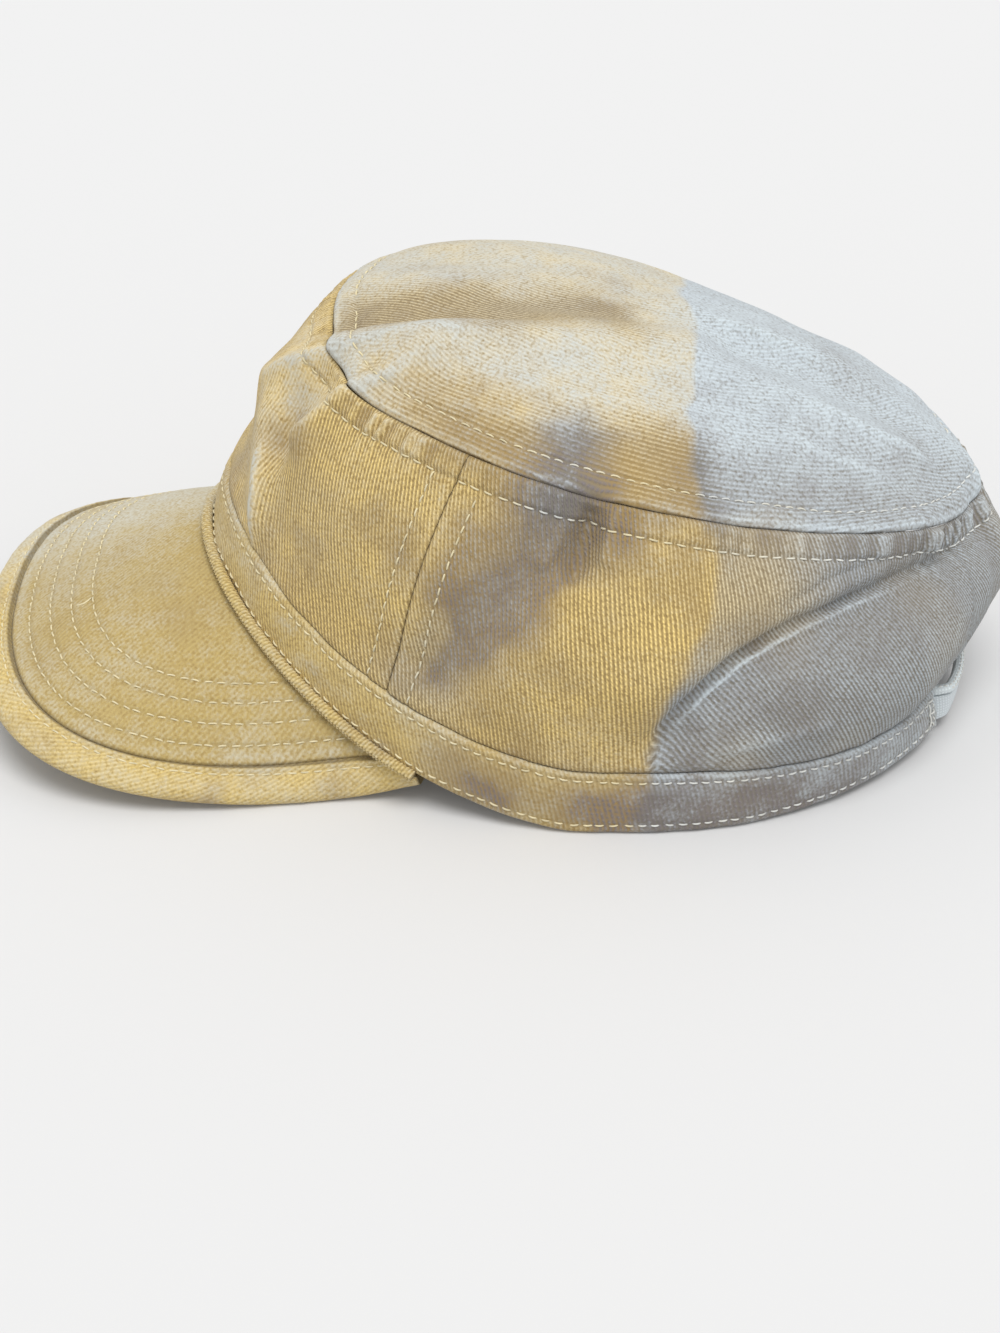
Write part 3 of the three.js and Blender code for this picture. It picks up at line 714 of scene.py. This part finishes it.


# Twill: ribs across the cloth at an angle, broken by the threads that cross them, over tones painted golden
# in warm sunlight and grey in cool shade, with violet painted shade and mottling. Where the cloth is worn or
# painted with a highlight, the ribs fade into pale speckle.
def twill(name, slope, pitch=1.13, rib=1.0, khaki=COLOURS.khaki, mottling=1.0):
    n = Nodes(name)
    wander = n.times(n.noise(8), 0.6)
    ribs = n.wave(n.plus(n.along(slope), wander), pitch)
    threads = n.wave(n.plus(n.along(slope + 66), n.times(n.noise(2.2), 1.4)), pitch * 0.9)
    weave = n.times(ribs, n.scaled(threads, 0.4, 0.6))
    speckle, patchy, mottled = n.noise(0.85, 3), n.noise(6, 4), n.noise(20, 3)
    sunlit, wear_and_light, shade_and_mottle, seam = (n.mark(mark) for mark in ("sunlit", "wear_and_light", "shade_and_mottle", "seam"))
    shown = n.maths("MAXIMUM", n.scaled(wear_and_light, -0.95, 1.0, clamp=True), 0.26)
    # The cloth is painted golden where warm sunlight falls and grey in cool shade.
    base = n.mix(sunlit, COLOURS.cool_grey, khaki)
    # Painted shade and shadow, with random mottling, darken the cloth towards violet.
    dull = n.plus(shade_and_mottle, n.scaled(mottled, 2.6 * mottling, -1.3 * mottling, clamp=True), clamp=True)
    base = n.mix(dull, base, COLOURS.violet)
    # Worn cloth and painted highlights turn pale.
    pale_colour = n.mix(sunlit, COLOURS.bleached_cool, COLOURS.bleached_warm)
    fleck = n.scaled(speckle, 1.35, -0.675)
    pale = n.plus(n.plus(n.scaled(patchy, 1.0, -0.5), fleck), wear_and_light)
    base = n.mix(n.maths("MULTIPLY", pale, 0.9, clamp=True), base, pale_colour)
    valley = n.mix(sunlit, COLOURS.valley_cool, COLOURS.valley_warm)
    furrow = n.times(n.times(n.maths("SUBTRACT", 1, weave), 0.95 * rib), shown)
    sunk = n.plus(furrow, n.scaled(speckle, -2.1, 1.1, clamp=True), clamp=True)
    base = n.mix(sunk, base, valley)
    # Painted shade: the seam mark darkens the cloth to brown in seam grooves and channels.
    base = n.mix(seam, base, COLOURS.seam_brown)
    height = n.plus(n.times(n.times(weave, rib), shown), n.times(speckle, 0.5))
    return n.finish(base, height, 0.28)


def tinted(colour, factor):
    return [min(1, c * factor) for c in colour]


# Sewing thread, cream where the cloth is painted in warm sunlight and grey where it is painted in cool
# shade.
def thread_material(name):
    n = Nodes(name)
    dull, colour = (
        n.mix(n.mark("sunlit"), tinted(COLOURS.pale_thread, factor), tinted(COLOURS.thread, factor))
        for factor in (0.7, 1)
    )
    colour = n.mix(n.scaled(n.noise(2.5, 3), 2, -0.6, clamp=True), dull, colour)
    return n.finish(colour, n.noise(0.5, 1), 0.06, 0.8)


# A plain woven tape, darkened with painted groove shade where its seam mark is set; the seam mark is nought
# on both tapes.
def tape_material(name, colour, pitch=0.8):
    n = Nodes(name)
    weave = n.times(n.wave(n.along(0), pitch), n.wave(n.along(90), pitch))
    tint = n.mix(n.noise(4, 4), tinted(colour, 0.85), tinted(colour, 1.12))
    tint = n.mix(n.scaled(weave, -0.35, 0.35), tint, tinted(colour, 0.42))
    return n.finish(n.mix(n.mark("seam"), tint, COLOURS.seam_brown), weave, 0.12)


def part_of(line, start, end):
    points, normals = line
    first, last = int(start * (len(points) - 1)), int(end * (len(points) - 1))
    return points[first:last + 1], normals[first:last + 1]


# The crown

# How far below the slouch crease a point on the wearer's left is.
def below_slouch(p):
    path = np.array(SLOUCH, float)
    under = np.maximum(0, np.interp(p[..., 1], path[:, 1], path[:, 2]) - p[..., 2])
    return under * smooth((p[..., 1] - path[0, 1] + 2) / 4) * (p[..., 0] > 0)


# A wall panel between two edges, each given as an angle at a share of the height of the wall. The seams at
# its sides are as deep as their strengths say.
def wall_panel(name, from_angle, to_angle, columns, material, seed, left=1.0, right=1.0, rows=132, step=6):
    u, v = closer_at_ends(columns)[None, :], closer_at_ends(rows)[:, None]

    def surface(u, v):
        angle = lerp(from_angle(v), to_angle(v), u)
        return angle, wall(angle, lerp(np.maximum(arch_rise(angle), 0.003), 0.9992, v))

    angle, plain = surface(u, v)
    normals = grid_normals(plain)
    across, up = arc_lengths(plain, 1), arc_lengths(plain, 0)
    to_left, to_right = across, across[:, -1:] - across
    to_low, to_high = up, up[-1:] - up
    upright, allowance = ((to_left, left), (to_right, right)), UPRIGHT_SEAM.allowance
    band_side = np.abs(angle - math.pi) > radians(ARCH.half_angle + 1)
    crease, crest = creases(plain)
    ripple = gathers(across[-1:], to_high, angle, GATHERS.on_wall, seed)
    height = (
        beside_seam(to_high) + ripple + crease
        + sum(beside_seam(away, allowance) * UPRIGHT_SEAM.share * deep for away, deep in upright)
        + np.where(band_side, -0.35 * bump(to_low, 1.2), 0.35 * bump(to_low - 2.5, 2))
        + 0.5 * lumps(plain, (9, 9, 24), seed + 1) + 0.18 * lumps(plain, (4, 4, 9), seed + 2)
    )
    skin = plain + normals * height[..., None]
    depth = WALL.thickness - np.minimum(height[::step], 0)
    inner = surface(u, lerp(LINING.from_band, 1 - LINING.from_seam, v[::step]))[1]
    inner = inner - normals[::step] * depth[..., None]
    marks = tone(plain)
    # Painted shade in the seam grooves, and at the foot of the wall where it goes into the band.
    seams = seam_groove_shade(to_high) + sum(seam_groove_shade(away, allowance) * deep for away, deep in upright)
    marks["seam"] = seams + np.where(band_side, 0.4 * bump(to_low, 0.5), 0)
    nearest = np.minimum(np.minimum(to_high, to_left + 9 * (1 - left)), to_right + 9 * (1 - right))
    # Crease crests and seam lips are worn paler; the crests of the puckers are paler too, partly wear and
    # partly painted highlight, and their hollows near the seam are darkened with painted shade.
    marks["wear_and_light"] += 0.8 * crest + 0.45 * np.clip(ripple, -0.3, 1) + 0.15 * bump(nearest - 1.2, 0.8)
    marks["shade_and_mottle"] += 0.7 * np.clip(-ripple, 0, 1) * (to_high < 9)
    lean = np.interp(from_front(angle), RIB_LEAN.angle, RIB_LEAN.lean) * np.sign(np.sin(angle))
    middle_row = across[rows // 2][None, :] - across[rows // 2].mean()
    ribs = middle_row + lean * (up - up[-1:] / 2) - 0.5 * below_slouch(plain)
    piece = sheet_mesh(name + "_cloth", skin, inner, material, point(ribs, up), marks)
    grid = Sizes(points=skin, normals=grid_normals(skin), left=to_left, right=to_right, high=to_high)
    return dress(piece, name), grid


def top_panel(columns, rows, material, step=6):
    u = np.linspace(0, 1, columns + 1)[None, :]
    t = np.linspace(0, 1, rows + 1)[:, None]
    v = (t + 0.5 * np.sin(math.pi * t) / math.pi) * (1 - 0.2 * GAP / TOP_SEAM.half_width)
    angle = 2 * math.pi * u
    plain = top(angle, v)
    normals = -grid_normals(plain, closed=True)
    normals[0] = (0, 0, 1)
    up = arc_lengths(plain, 0)
    to_seam = up[-1:] - up
    crease, crest = creases(plain)
    ripple = gathers(arc_lengths(plain[-1:], 1), to_seam, angle, GATHERS.on_top, 24)
    height = (
        beside_seam(to_seam) + crease + ripple
        + 0.4 * lumps(plain, (9, 24, 9), 21) + 0.16 * lumps(plain, (4, 9, 4), 22)
    )
    skin = plain + normals * height[..., None]
    depth = WALL.thickness - np.minimum(height[::step], 0)
    inner = top(angle, v[::step] * (1 - LINING.top_from_seam)) - normals[::step] * depth[..., None]
    marks = tone(plain)
    turned = np.degrees(angle) % 360
    behind = lerp(1, 0.5, smooth((turned - BLEACHED_AND_LIT.to_angle) / 8)) * (1 - smooth((turned - 160) / 20))
    ahead = 0.85 * smooth((turned - BLEACHED_AND_LIT.from_angle) / 24) * behind
    ribbed = ahead * (1 - smooth((to_seam - BLEACHED_AND_LIT.ribbed + 4 * lumps(plain, 9, 25)) / BLEACHED_AND_LIT.fading))
    marks["seam"] = seam_groove_shade(to_seam)
    # The top is painted paler and cooler away from its ribbed strip: partly bleached cloth, partly painted
    # highlight and cool light on the lit top.
    wear_and_light = BLEACHED_AND_LIT.amount * (1 - ribbed) + 0.8 * crest + 0.3 * np.clip(ripple, -0.3, 1)
    marks["wear_and_light"] += wear_and_light + 0.3 * bump(to_seam - 1.3, 0.8)
    marks["sunlit"] -= 0.38 * (1 - ribbed)
    x, y = plain[..., 0], plain[..., 1]
    cloth = point(x - TOP_RIBS.lean * y + TOP_RIBS.bend * y**2, y)
    piece = sheet_mesh("crown_top_cloth", skin, inner, material, cloth, marks, closed=True)
    grid = Sizes(points=skin, normals=-grid_normals(skin, closed=True), seam=to_seam)
    return dress(piece, "crown_top"), grid


# The closed section of cloth folded over on itself: how high each of its points is, from 0 to 1 with rounded
# ends of the height edge, and how deep it is, from 0 on the outer face to 1 on the inner one.
def folded_section(edge, face_steps, edge_steps):
    even = np.linspace(0, 1, face_steps + 1) + 0 * edge
    turn = np.linspace(0, math.pi, edge_steps + 1)[1:-1]
    end = edge * (1 - np.sin(turn))
    high = [lerp(edge, 1 - edge, even), 1 - end, lerp(1 - edge, edge, even), end, edge]
    over = (1 - np.cos(turn)) / 2
    deep = [0 * even[0], over, 0 * even[0] + 1, 1 - over, [0]]
    return np.concatenate(high, axis=1), np.concatenate(deep)


# How far the rows of stitches are from the edges and the ends of the band.
BAND_ROWS = Sizes(high=2.3, low=2.6, ends=(1.8, 4.4))
# Farther than any point of the band is from its ends.
FAR_OFF = 1e3


def make_band(material):
    steps, face_steps = 700, 24
    end = radians(BAND.end_angle)
    angle = np.linspace(-end, end, steps + 1)[:, None]
    tall = band_height(angle)
    at, depth = folded_section(BAND.thickness / 2 / tall, face_steps, 8)
    proud = 0.55
    up = at * tall
    plain = band_face(angle, at)
    outer_side = np.clip(1 - depth * 2, 0, 1)
    to_end = (end - np.abs(angle)) * HEAD.rear_length
    lower_row = bump(up - BAND_ROWS.low, 0.7) * smooth((from_front(angle) - 60) / 30)
    rows = -0.32 * bump(tall - up - BAND_ROWS.high, 0.7) - 0.28 * lower_row
    tucks = -0.25 * sum(bump(to_end - row, 0.6) for row in BAND_ROWS.ends)
    soft = 0.34 * lumps(plain, (12, 12, 7), 31) + 0.18 * lumps(plain, (5, 5, 4), 32)
    swell = 0.45 * np.sin(math.pi * np.clip(at, 0, 1))
    height = (proud + swell + rows + tucks + soft) * outer_side - BAND.thickness * depth
    sections = plain + outward(angle) * height[..., None]
    around_band = arc_lengths(band_face(angle[:, 0], np.full(steps + 1, 0.5))[:, None], 0)
    marks = tone(plain)
    rim = bump(tall - up, 0.9) + 0.6 * bump(up, 0.9) + bump(to_end, 0.8)
    marks["seam"] = np.zeros(plain.shape[:-1])
    marks["wear_and_light"] += 0.6 * rim * outer_side + 0.25 * lumps(plain, (6, 6, 4), 33)
    cloth = point(around_band, arc_lengths(sections[0], 0))
    piece = strip_mesh("band_cloth", sections, material, cloth, marks)
    face = sections[:, :face_steps + 1].transpose(1, 0, 2)
    low = up[:, :face_steps + 1].T
    on_left, on_right = (np.where(side * angle > 0, to_end, FAR_OFF).T + 0 * low for side in (1, -1))
    grid = Sizes(points=face, normals=grid_normals(face), low=low, high=tall.T - low,
                 left_end=on_left, right_end=on_right)
    return dress(piece, "band"), grid


# The strap bridges the back, its ends tucked inside the ends of the band.
def strap_face(angle, share):
    from_back = 180 - from_front(angle)
    bow = lerp(STRAP.flat, STRAP.bow, smooth(from_back / STRAP.free_angle)) * (0.3 + 0.7 * share / STRAP.top)
    free = band_bottom(angle) + outward(angle) * np.asarray(bow)[..., None]
    free[..., 2] += band_height(angle) * share
    tucked = band_face(angle, share) - outward(angle) * (BAND.thickness + GAP)
    inside = smooth((from_back - STRAP.free_angle) / (STRAP.tucked_angle - STRAP.free_angle))
    return lerp(free, tucked, inside[..., None])


def make_strap(material):
    half = radians(180 - BAND.end_angle + STRAP.overlap_angle)
    u, v = np.linspace(-half, half, 141)[None, :], np.linspace(0, 1, 25)[:, None]
    angle = math.pi + u + 0 * v
    plain = strap_face(angle, lerp(0.02, STRAP.top, v) + 0 * u)
    relief = 0.12 * np.sin(math.pi * v) + 0.1 * lumps(plain, (8, 8, 5), 41)
    skin = plain + outward(angle) * relief[..., None]
    inner = (plain - outward(angle) * STRAP.thickness)[::6]
    cloth = point(arc_lengths(plain, 1), arc_lengths(plain, 0))
    marks = {"seam": np.zeros(plain.shape[:-1])}
    piece = sheet_mesh("back_strap_tape", skin, inner, material, cloth, marks)
    return dress(piece, "back_strap")


# A round cord through points, given with the way that points out of the cap at each.
def cord_sections(path, out, radius, sides, relief=0.0):
    along = unit(np.gradient(path, axis=0))
    up = unit(np.cross(out, along))
    out = unit(np.cross(along, up))
    turn = -np.linspace(0, 2 * math.pi, sides + 1)
    size = np.broadcast_to(np.asarray(radius + relief, float), (len(path), sides + 1))
    ring = np.cos(turn)[None, :, None] * out[:, None] + np.sin(turn)[None, :, None] * up[:, None]
    return path[:, None] + ring * size[..., None]


# The bound upper edge of the strap, whose ends go inside the ends of the band.
def make_strap_binding(material):
    half = STRAP.binding_half_angle
    angle = math.pi + radians(np.linspace(-half, half, 241))
    inside = smooth((180 - from_front(angle) - 25) / 1.8)
    path = strap_face(angle, np.full(angle.size, STRAP.top))
    path -= outward(angle) * (STRAP.thickness / 2 + 0.55 * inside)[..., None]
    path[:, 2] += STRAP.binding_radius + GAP
    run = arc_lengths(path[:, None], 0)
    relief = 0.05 * np.sin(2 * math.pi * run / 0.9)
    sections = cord_sections(path, outward(angle), STRAP.binding_radius, 16, relief)
    cloth = point(run, np.linspace(0, 8, 17))
    marks = {"seam": np.zeros(sections.shape[:-1])}
    piece = strip_mesh("strap_binding_tape", sections, material, cloth, marks)
    dress(piece, "strap_binding")
    return path, angle


# The peak

def peak_inner(across):
    return band_bottom(radians(across * PEAK.temple_angle)) - (0, 0, GAP)


# The outer edge of the peak: across runs from -1 at the wearer's right temple to 1 at the left.
def peak_outer(across):
    t = np.abs(across)[..., None]
    s = 1 - t
    ends = [np.array(p, float) for p in (PEAK.tip, PEAK.tip_handle, PEAK.temple_handle)]
    temple = peak_inner(np.ones(1))[0]
    p = ends[0] * s**3 + ends[1] * 3 * s * s * t + ends[2] * 3 * s * t * t + temple * t**3
    p[..., 0] *= np.where(across < 0, -1, 1)
    return p


def peak_depth(across):
    return np.linalg.norm(peak_outer(across) - peak_inner(across), axis=-1)


def peak_top(across, distance):
    outer, inner = peak_outer(across), peak_inner(across)
    share = np.minimum(1, distance / np.linalg.norm(outer - inner, axis=-1))
    p = lerp(outer, inner, share[..., None])
    p[..., 2] += PEAK.crown * 4 * share * (1 - share) * (1 - across**2)
    return p


PEAK_ROWS = Sizes(count=4, first=14.7, pitch=6.1)


def make_peak(material, step=6):
    u, v = np.linspace(-PEAK.cover_end, PEAK.cover_end, 321)[None, :], closer_at_ends(108, 0.3)[:, None]
    across = u + 0 * v
    distance = lerp(BINDING.width + GAP, peak_depth(across) - GAP, v)
    plain = peak_top(across, distance)
    normals = grid_normals(plain)
    rows = [PEAK_ROWS.first + PEAK_ROWS.pitch * k for k in range(PEAK_ROWS.count)]
    channels = sum(bump(distance - row, 0.8) for row in rows)
    to_edge = distance - BINDING.width - GAP
    to_band = peak_depth(across) - GAP - distance
    height = (
        -0.34 * channels - 0.5 * bump(to_edge, 0.6) - 0.3 * bump(to_band, 2)
        + 0.18 * lumps(plain, 9, 51) + 0.09 * lumps(plain, 3.5, 52)
    )
    skin = plain + normals * height[..., None]
    inner = (plain - normals * PEAK.thickness)[::step]
    marks = tone(plain)
    # Painted shade in the groove beside the binding and in the quilted channels.
    marks["seam"] = 0.7 * bump(to_edge, 0.45) + 0.12 * channels
    marks["wear_and_light"] += 0.25 * bump(to_edge - 2.4, 1.2)
    dress(sheet_mesh("peak_cover", skin, inner, material, plain[..., :2], marks), "peak")
    return Sizes(points=skin, normals=grid_normals(skin), distance=distance), rows


# The rolled binding around the edge of the peak: distances in from the edge, and heights.
BINDING_SECTION = [(9, -3.1), (9, 0.3), (6.5, 0.8), (2.5, 0.7), (0.6, 0), (0, -1.3), (0.7, -2.7), (3, -3.3)]


# A smooth closed line through points, with steps points on each stretch.
def rounded(points, steps):
    corners = np.array(points, float)
    before, after, beyond = np.roll(corners, 1, 0), np.roll(corners, -1, 0), np.roll(corners, -2, 0)
    t = (np.arange(steps) / steps)[None, :, None]
    a, b, c, d = (p[:, None] for p in (before, corners, after, beyond))
    curve = b + 0.5 * t * (c - a + t * (2 * a - 5 * b + 4 * c - d + t * (3 * (b - c) + d - a)))
    curve = curve.reshape(-1, 2)
    return np.concatenate([curve, curve[:1]])


def make_peak_binding(material):
    steps = 520
    section = rounded(BINDING_SECTION, 5)
    across = np.linspace(-BINDING.end, BINDING.end, steps + 1)[:, None]
    narrowed = np.minimum(1, (peak_depth(across) - GAP) / BINDING.width)
    step = 1e-3
    middle = np.full_like(across, BINDING.width / 2)
    du = peak_top(across + step, middle) - peak_top(across - step, middle)
    dv = peak_top(across, middle + 1) - peak_top(across, middle - 1)
    normal = unit(np.cross(du, dv))
    distance, height = section[:, 0][None, :], section[:, 1][None, :]
    plain = peak_top(across + 0 * distance, distance * narrowed)
    upper = smooth((height + 1.6) / 1.2)
    channel = -0.35 * bump(distance - 7.3, 0.6)
    roll = 0.35 * bump(distance - 8.6, 0.8) + 0.25 * np.sin(math.pi * np.clip(distance / 7.3, 0, 1))
    raised = height + upper * (channel + roll + 0.18 * lumps(plain, 6, 61) + 0.1 * lumps(plain, 2.5, 62))
    sections = plain + normal * raised[..., None]
    marks = tone(plain)
    # Painted shade in the groove along the inner edge of the binding.
    marks["seam"] = 0.7 * bump(distance - 9.1, 0.35) + 0 * plain[..., 0]
    marks["wear_and_light"] += 0.2 * upper * bump(distance - 3, 3) + 0.3 * bump(distance - 8.2, 0.5) * upper
    around_edge = arc_lengths(peak_outer(across[:, 0])[:, None], 0)
    cloth = point(around_edge, arc_lengths(section, 0))
    dress(strip_mesh("peak_binding_cloth", sections, material, cloth, marks), "peak_binding")
    at = int(np.argmin(np.where(section[:, 1] > 0, np.abs(section[:, 0] - 7.3), np.inf)))
    line = sections[:, at]
    return line, np.broadcast_to(normal[:, 0], line.shape)


# The covered piping in the corner between the band and the peak, with the ribs of its cloth across it.
def make_welt(material):
    end = radians(WELT.end_angle)
    clear = WELT.radius + GAP
    angle = np.linspace(-end, end, 1800)
    across = angle / radians(PEAK.temple_angle)
    outer, inner = peak_outer(across), peak_inner(across)
    fall = inner - outer
    slope = np.arctan2(fall[:, 2], np.hypot(fall[:, 0], fall[:, 1]))
    path = band_bottom(angle) + outward(angle) * clear
    path[:, 2] += clear * (1 - np.sin(slope)) / np.cos(slope)
    run = arc_lengths(path[:, None], 0)
    turn = np.linspace(0, 2 * math.pi, 13)[None, :]
    ribs = 0.5 + 0.5 * np.sin(2 * math.pi * (run + 0.2 * turn) / 0.95 + 0.8 * lumps(path, 7, 71)[:, None])
    relief = 0.2 * ribs**0.6 - 0.14
    sections = cord_sections(path, outward(angle), WELT.radius, 12, relief)
    marks = tone(sections)
    # Painted shade between the ribs of the welt.
    marks["seam"] = 0.32 * (1 - ribs) ** 2 + 0 * turn
    marks["wear_and_light"] += 0.3 * ribs
    cloth = point(run, turn * WELT.radius)
    dress(strip_mesh("peak_welt_cloth", sections, material, cloth, marks), "peak_welt")


def make_crown_stitches(top_grid, front, left, right, material):
    rows = [stitch_row(contour(top_grid, top_grid.seam, SEAM.allowance), 101)]
    for k, grid in enumerate((front, left, right)):
        rows.append(stitch_row(contour(grid, grid.high, SEAM.allowance), 102 + k))
    for k, (grid, side) in enumerate(((front, "left"), (front, "right"), (left, "left"), (right, "right"))):
        line = contour(grid, getattr(grid, side), UPRIGHT_SEAM.allowance, axis=1)
        seam_line = part_of(line, 0.02, 0.93)
        rows.append(stitch_row(seam_line, 110 + k, 3.2, 2.8))
    stitch_mesh("crown_stitches", rows, material)


# Two rows run along the band. Two more cross each of its ends, with bar tacks and loose ends by them.
def make_band_stitches(grid, material):
    rows = [
        stitch_row(contour(grid, grid.high, BAND_ROWS.high), 120, 3.1, 2.6),
        stitch_row(contour(grid, grid.low, BAND_ROWS.low), 121, 3.3, 2.8),
    ]
    for k, end in enumerate((grid.left_end, grid.right_end)):
        for j, distance in enumerate(BAND_ROWS.ends):
            points, normals = contour(grid, end, distance, axis=1)
            rows.append(stitch_row((points, normals), 122 + 2 * k + j, 1.9, 1.6))
        upper, normals = contour(grid, end, BAND_ROWS.ends[1], axis=1)
        nearer = contour(grid, end, 1.2, axis=1)[0]
        for place in (0.55, 0.9):
            at = int(place * (len(upper) - 1))
            line = lerp(upper[at], nearer[at], np.linspace(-0.15, 1, 12)[:, None])
            tack = (line + normals[at] * 0.2, np.broadcast_to(normals[at], line.shape))
            rows.append(stitch_row(tack, 130 + k, 4.2, 3.4, 0.25, 0.3))
            rows.append(loose_end(line[0], normals[at], np.array([0.0, -0.6, -1.0]), 3.4, 0.8))
    stitch_mesh("band_stitches", rows, material)


# Where a loose end of thread lies on the peak.
PEAK_LOOSE_END = (21.8, -130.4, 29.8)


def make_peak_stitches(grid, rows, edge_line, material):
    lines = [contour(grid, grid.distance, row) for row in rows]
    stitches = [stitch_row(line, 140 + k, 3.2, 2.75) for k, line in enumerate(lines)]
    stitches.append(stitch_row(edge_line, 150, 3.2, 2.8))
    points, normals = lines[-1]
    at = int(np.argmin(np.linalg.norm(points - PEAK_LOOSE_END, axis=-1)))
    stitches.append(loose_end(points[at], normals[at], np.array([0.3, -1.0, 0]), 5, 1.2))
    stitch_mesh("peak_stitches", stitches, material)


def make_strap_stitches(path, angle, material):
    up = np.broadcast_to((0.0, 0.0, 1.0), path.shape)
    rows = []
    for k, turn in enumerate((0.35, 1.05)):
        way = unit(outward(angle) * math.cos(turn) + up * math.sin(turn))
        line = path + way * STRAP.binding_radius
        rows.append(stitch_row(part_of((line, way), 0.06, 0.94), 160 + k, 1.6, 1.25, 0.1, 0.3))
    stitch_mesh("strap_stitches", rows, material)


def build_cap():
    side_twill = twill("washed twill of the walls", 0)
    top_twill = twill("washed twill of the top", 0)
    band_twill = twill("washed twill of the band", 20, rib=0.7, khaki=COLOURS.band_khaki)
    peak_twill = twill("washed twill of the peak", 40, rib=0.45, khaki=COLOURS.peak_khaki, mottling=0.3)
    edge_twill = twill("washed twill of the bindings", 60, rib=0.5, khaki=COLOURS.band_khaki)
    thread = thread_material("sewing thread")
    strap_tape = tape_material("grey strap", COLOURS.strap)
    pale_tape = tape_material("pale binding", COLOURS.pale_binding)

    seam_gap = radians(SEAM.gap_angle)
    top_cloth, top_grid = top_panel(600, 96, top_twill)
    front, front_grid = wall_panel(
        "crown_front", lambda v: seam_gap - front_seam_angle(v), lambda v: front_seam_angle(v) - seam_gap,
        280, side_twill, 11)
    left, left_grid = wall_panel(
        "crown_side_left", lambda v: front_seam_angle(v) + seam_gap, lambda v: math.pi - seam_gap + 0 * v,
        330, side_twill, 12, right=0.35)
    right, right_grid = wall_panel(
        "crown_side_right", lambda v: math.pi + seam_gap + 0 * v,
        lambda v: 2 * math.pi - front_seam_angle(v) - seam_gap, 330, side_twill, 13, left=0.35)
    band, band_grid = make_band(band_twill)
    strap = make_strap(strap_tape)
    rim, rim_angle = make_strap_binding(pale_tape)
    peak_grid, peak_rows = make_peak(peak_twill)
    edge_line = make_peak_binding(edge_twill)
    make_welt(edge_twill)
    make_crown_stitches(top_grid, front_grid, left_grid, right_grid, thread)
    make_band_stitches(band_grid, thread)
    make_peak_stitches(peak_grid, peak_rows, edge_line, thread)
    make_strap_stitches(rim, rim_angle, thread)


# The floor glows a little, as a light table does, so that the cap's shadow on it stays pale.
FLOOR = Sizes(paint=0.65, glow=0.04)


def make_floor():
    bpy.ops.mesh.primitive_plane_add(size=8)
    floor = bpy.context.object
    floor.name = "floor"
    n = Nodes("pale floor")
    n.constants(Base_Color=(FLOOR.paint, FLOOR.paint, FLOOR.paint, 1), Emission_Color=(1, 1, 1, 1))
    n.constants(Emission_Strength=FLOOR.glow, Roughness=1, Specular_IOR_Level=0)
    floor.data.materials.append(n.material)


# A wide soft light from above and the pale room around it.
LIGHT = Sizes(way=(0.4, 0.12, 1.0), strength=1.85, width=35, room=0.76)


def make_lights():
    world = bpy.data.worlds.new("pale room")
    world.use_nodes = True
    background = world.node_tree.nodes["Background"]
    background.inputs["Color"].default_value = (1, 1, 1, 1)
    background.inputs["Strength"].default_value = LIGHT.room
    bpy.context.scene.world = world
    data = bpy.data.lights.new("soft light", "SUN")
    data.energy = LIGHT.strength
    data.angle = radians(LIGHT.width)
    light = place_object("soft light", data)
    light.rotation_euler = (-Vector(LIGHT.way)).to_track_quat("-Z", "Y").to_euler()


# The camera of the photo: its bearing and height around the target, its distance, and its focal length as a
# number of pixels of a picture 1333 pixels high.
CAMERA = Sizes(
    bearing=90.4, height=31.15, distance=0.751, target=(0, 0.0022, -0.0018), focal=2818, picture=1333,
)


def make_camera():
    data = bpy.data.cameras.new("camera")
    data.sensor_width = 36
    data.lens = CAMERA.focal * data.sensor_width / CAMERA.picture
    data.clip_start = 0.01
    camera = place_object("camera", data)
    turn, rise = radians(CAMERA.bearing), radians(CAMERA.height)
    back = Vector((math.sin(turn) * math.cos(rise), -math.cos(turn) * math.cos(rise), math.sin(rise)))
    camera.location = Vector(CAMERA.target) + back * CAMERA.distance
    camera.rotation_euler = (-back).to_track_quat("-Z", "Y").to_euler()
    bpy.context.scene.camera = camera


build_cap()
make_floor()
make_lights()
make_camera()
bpy.context.scene.view_settings.view_transform = "Standard"
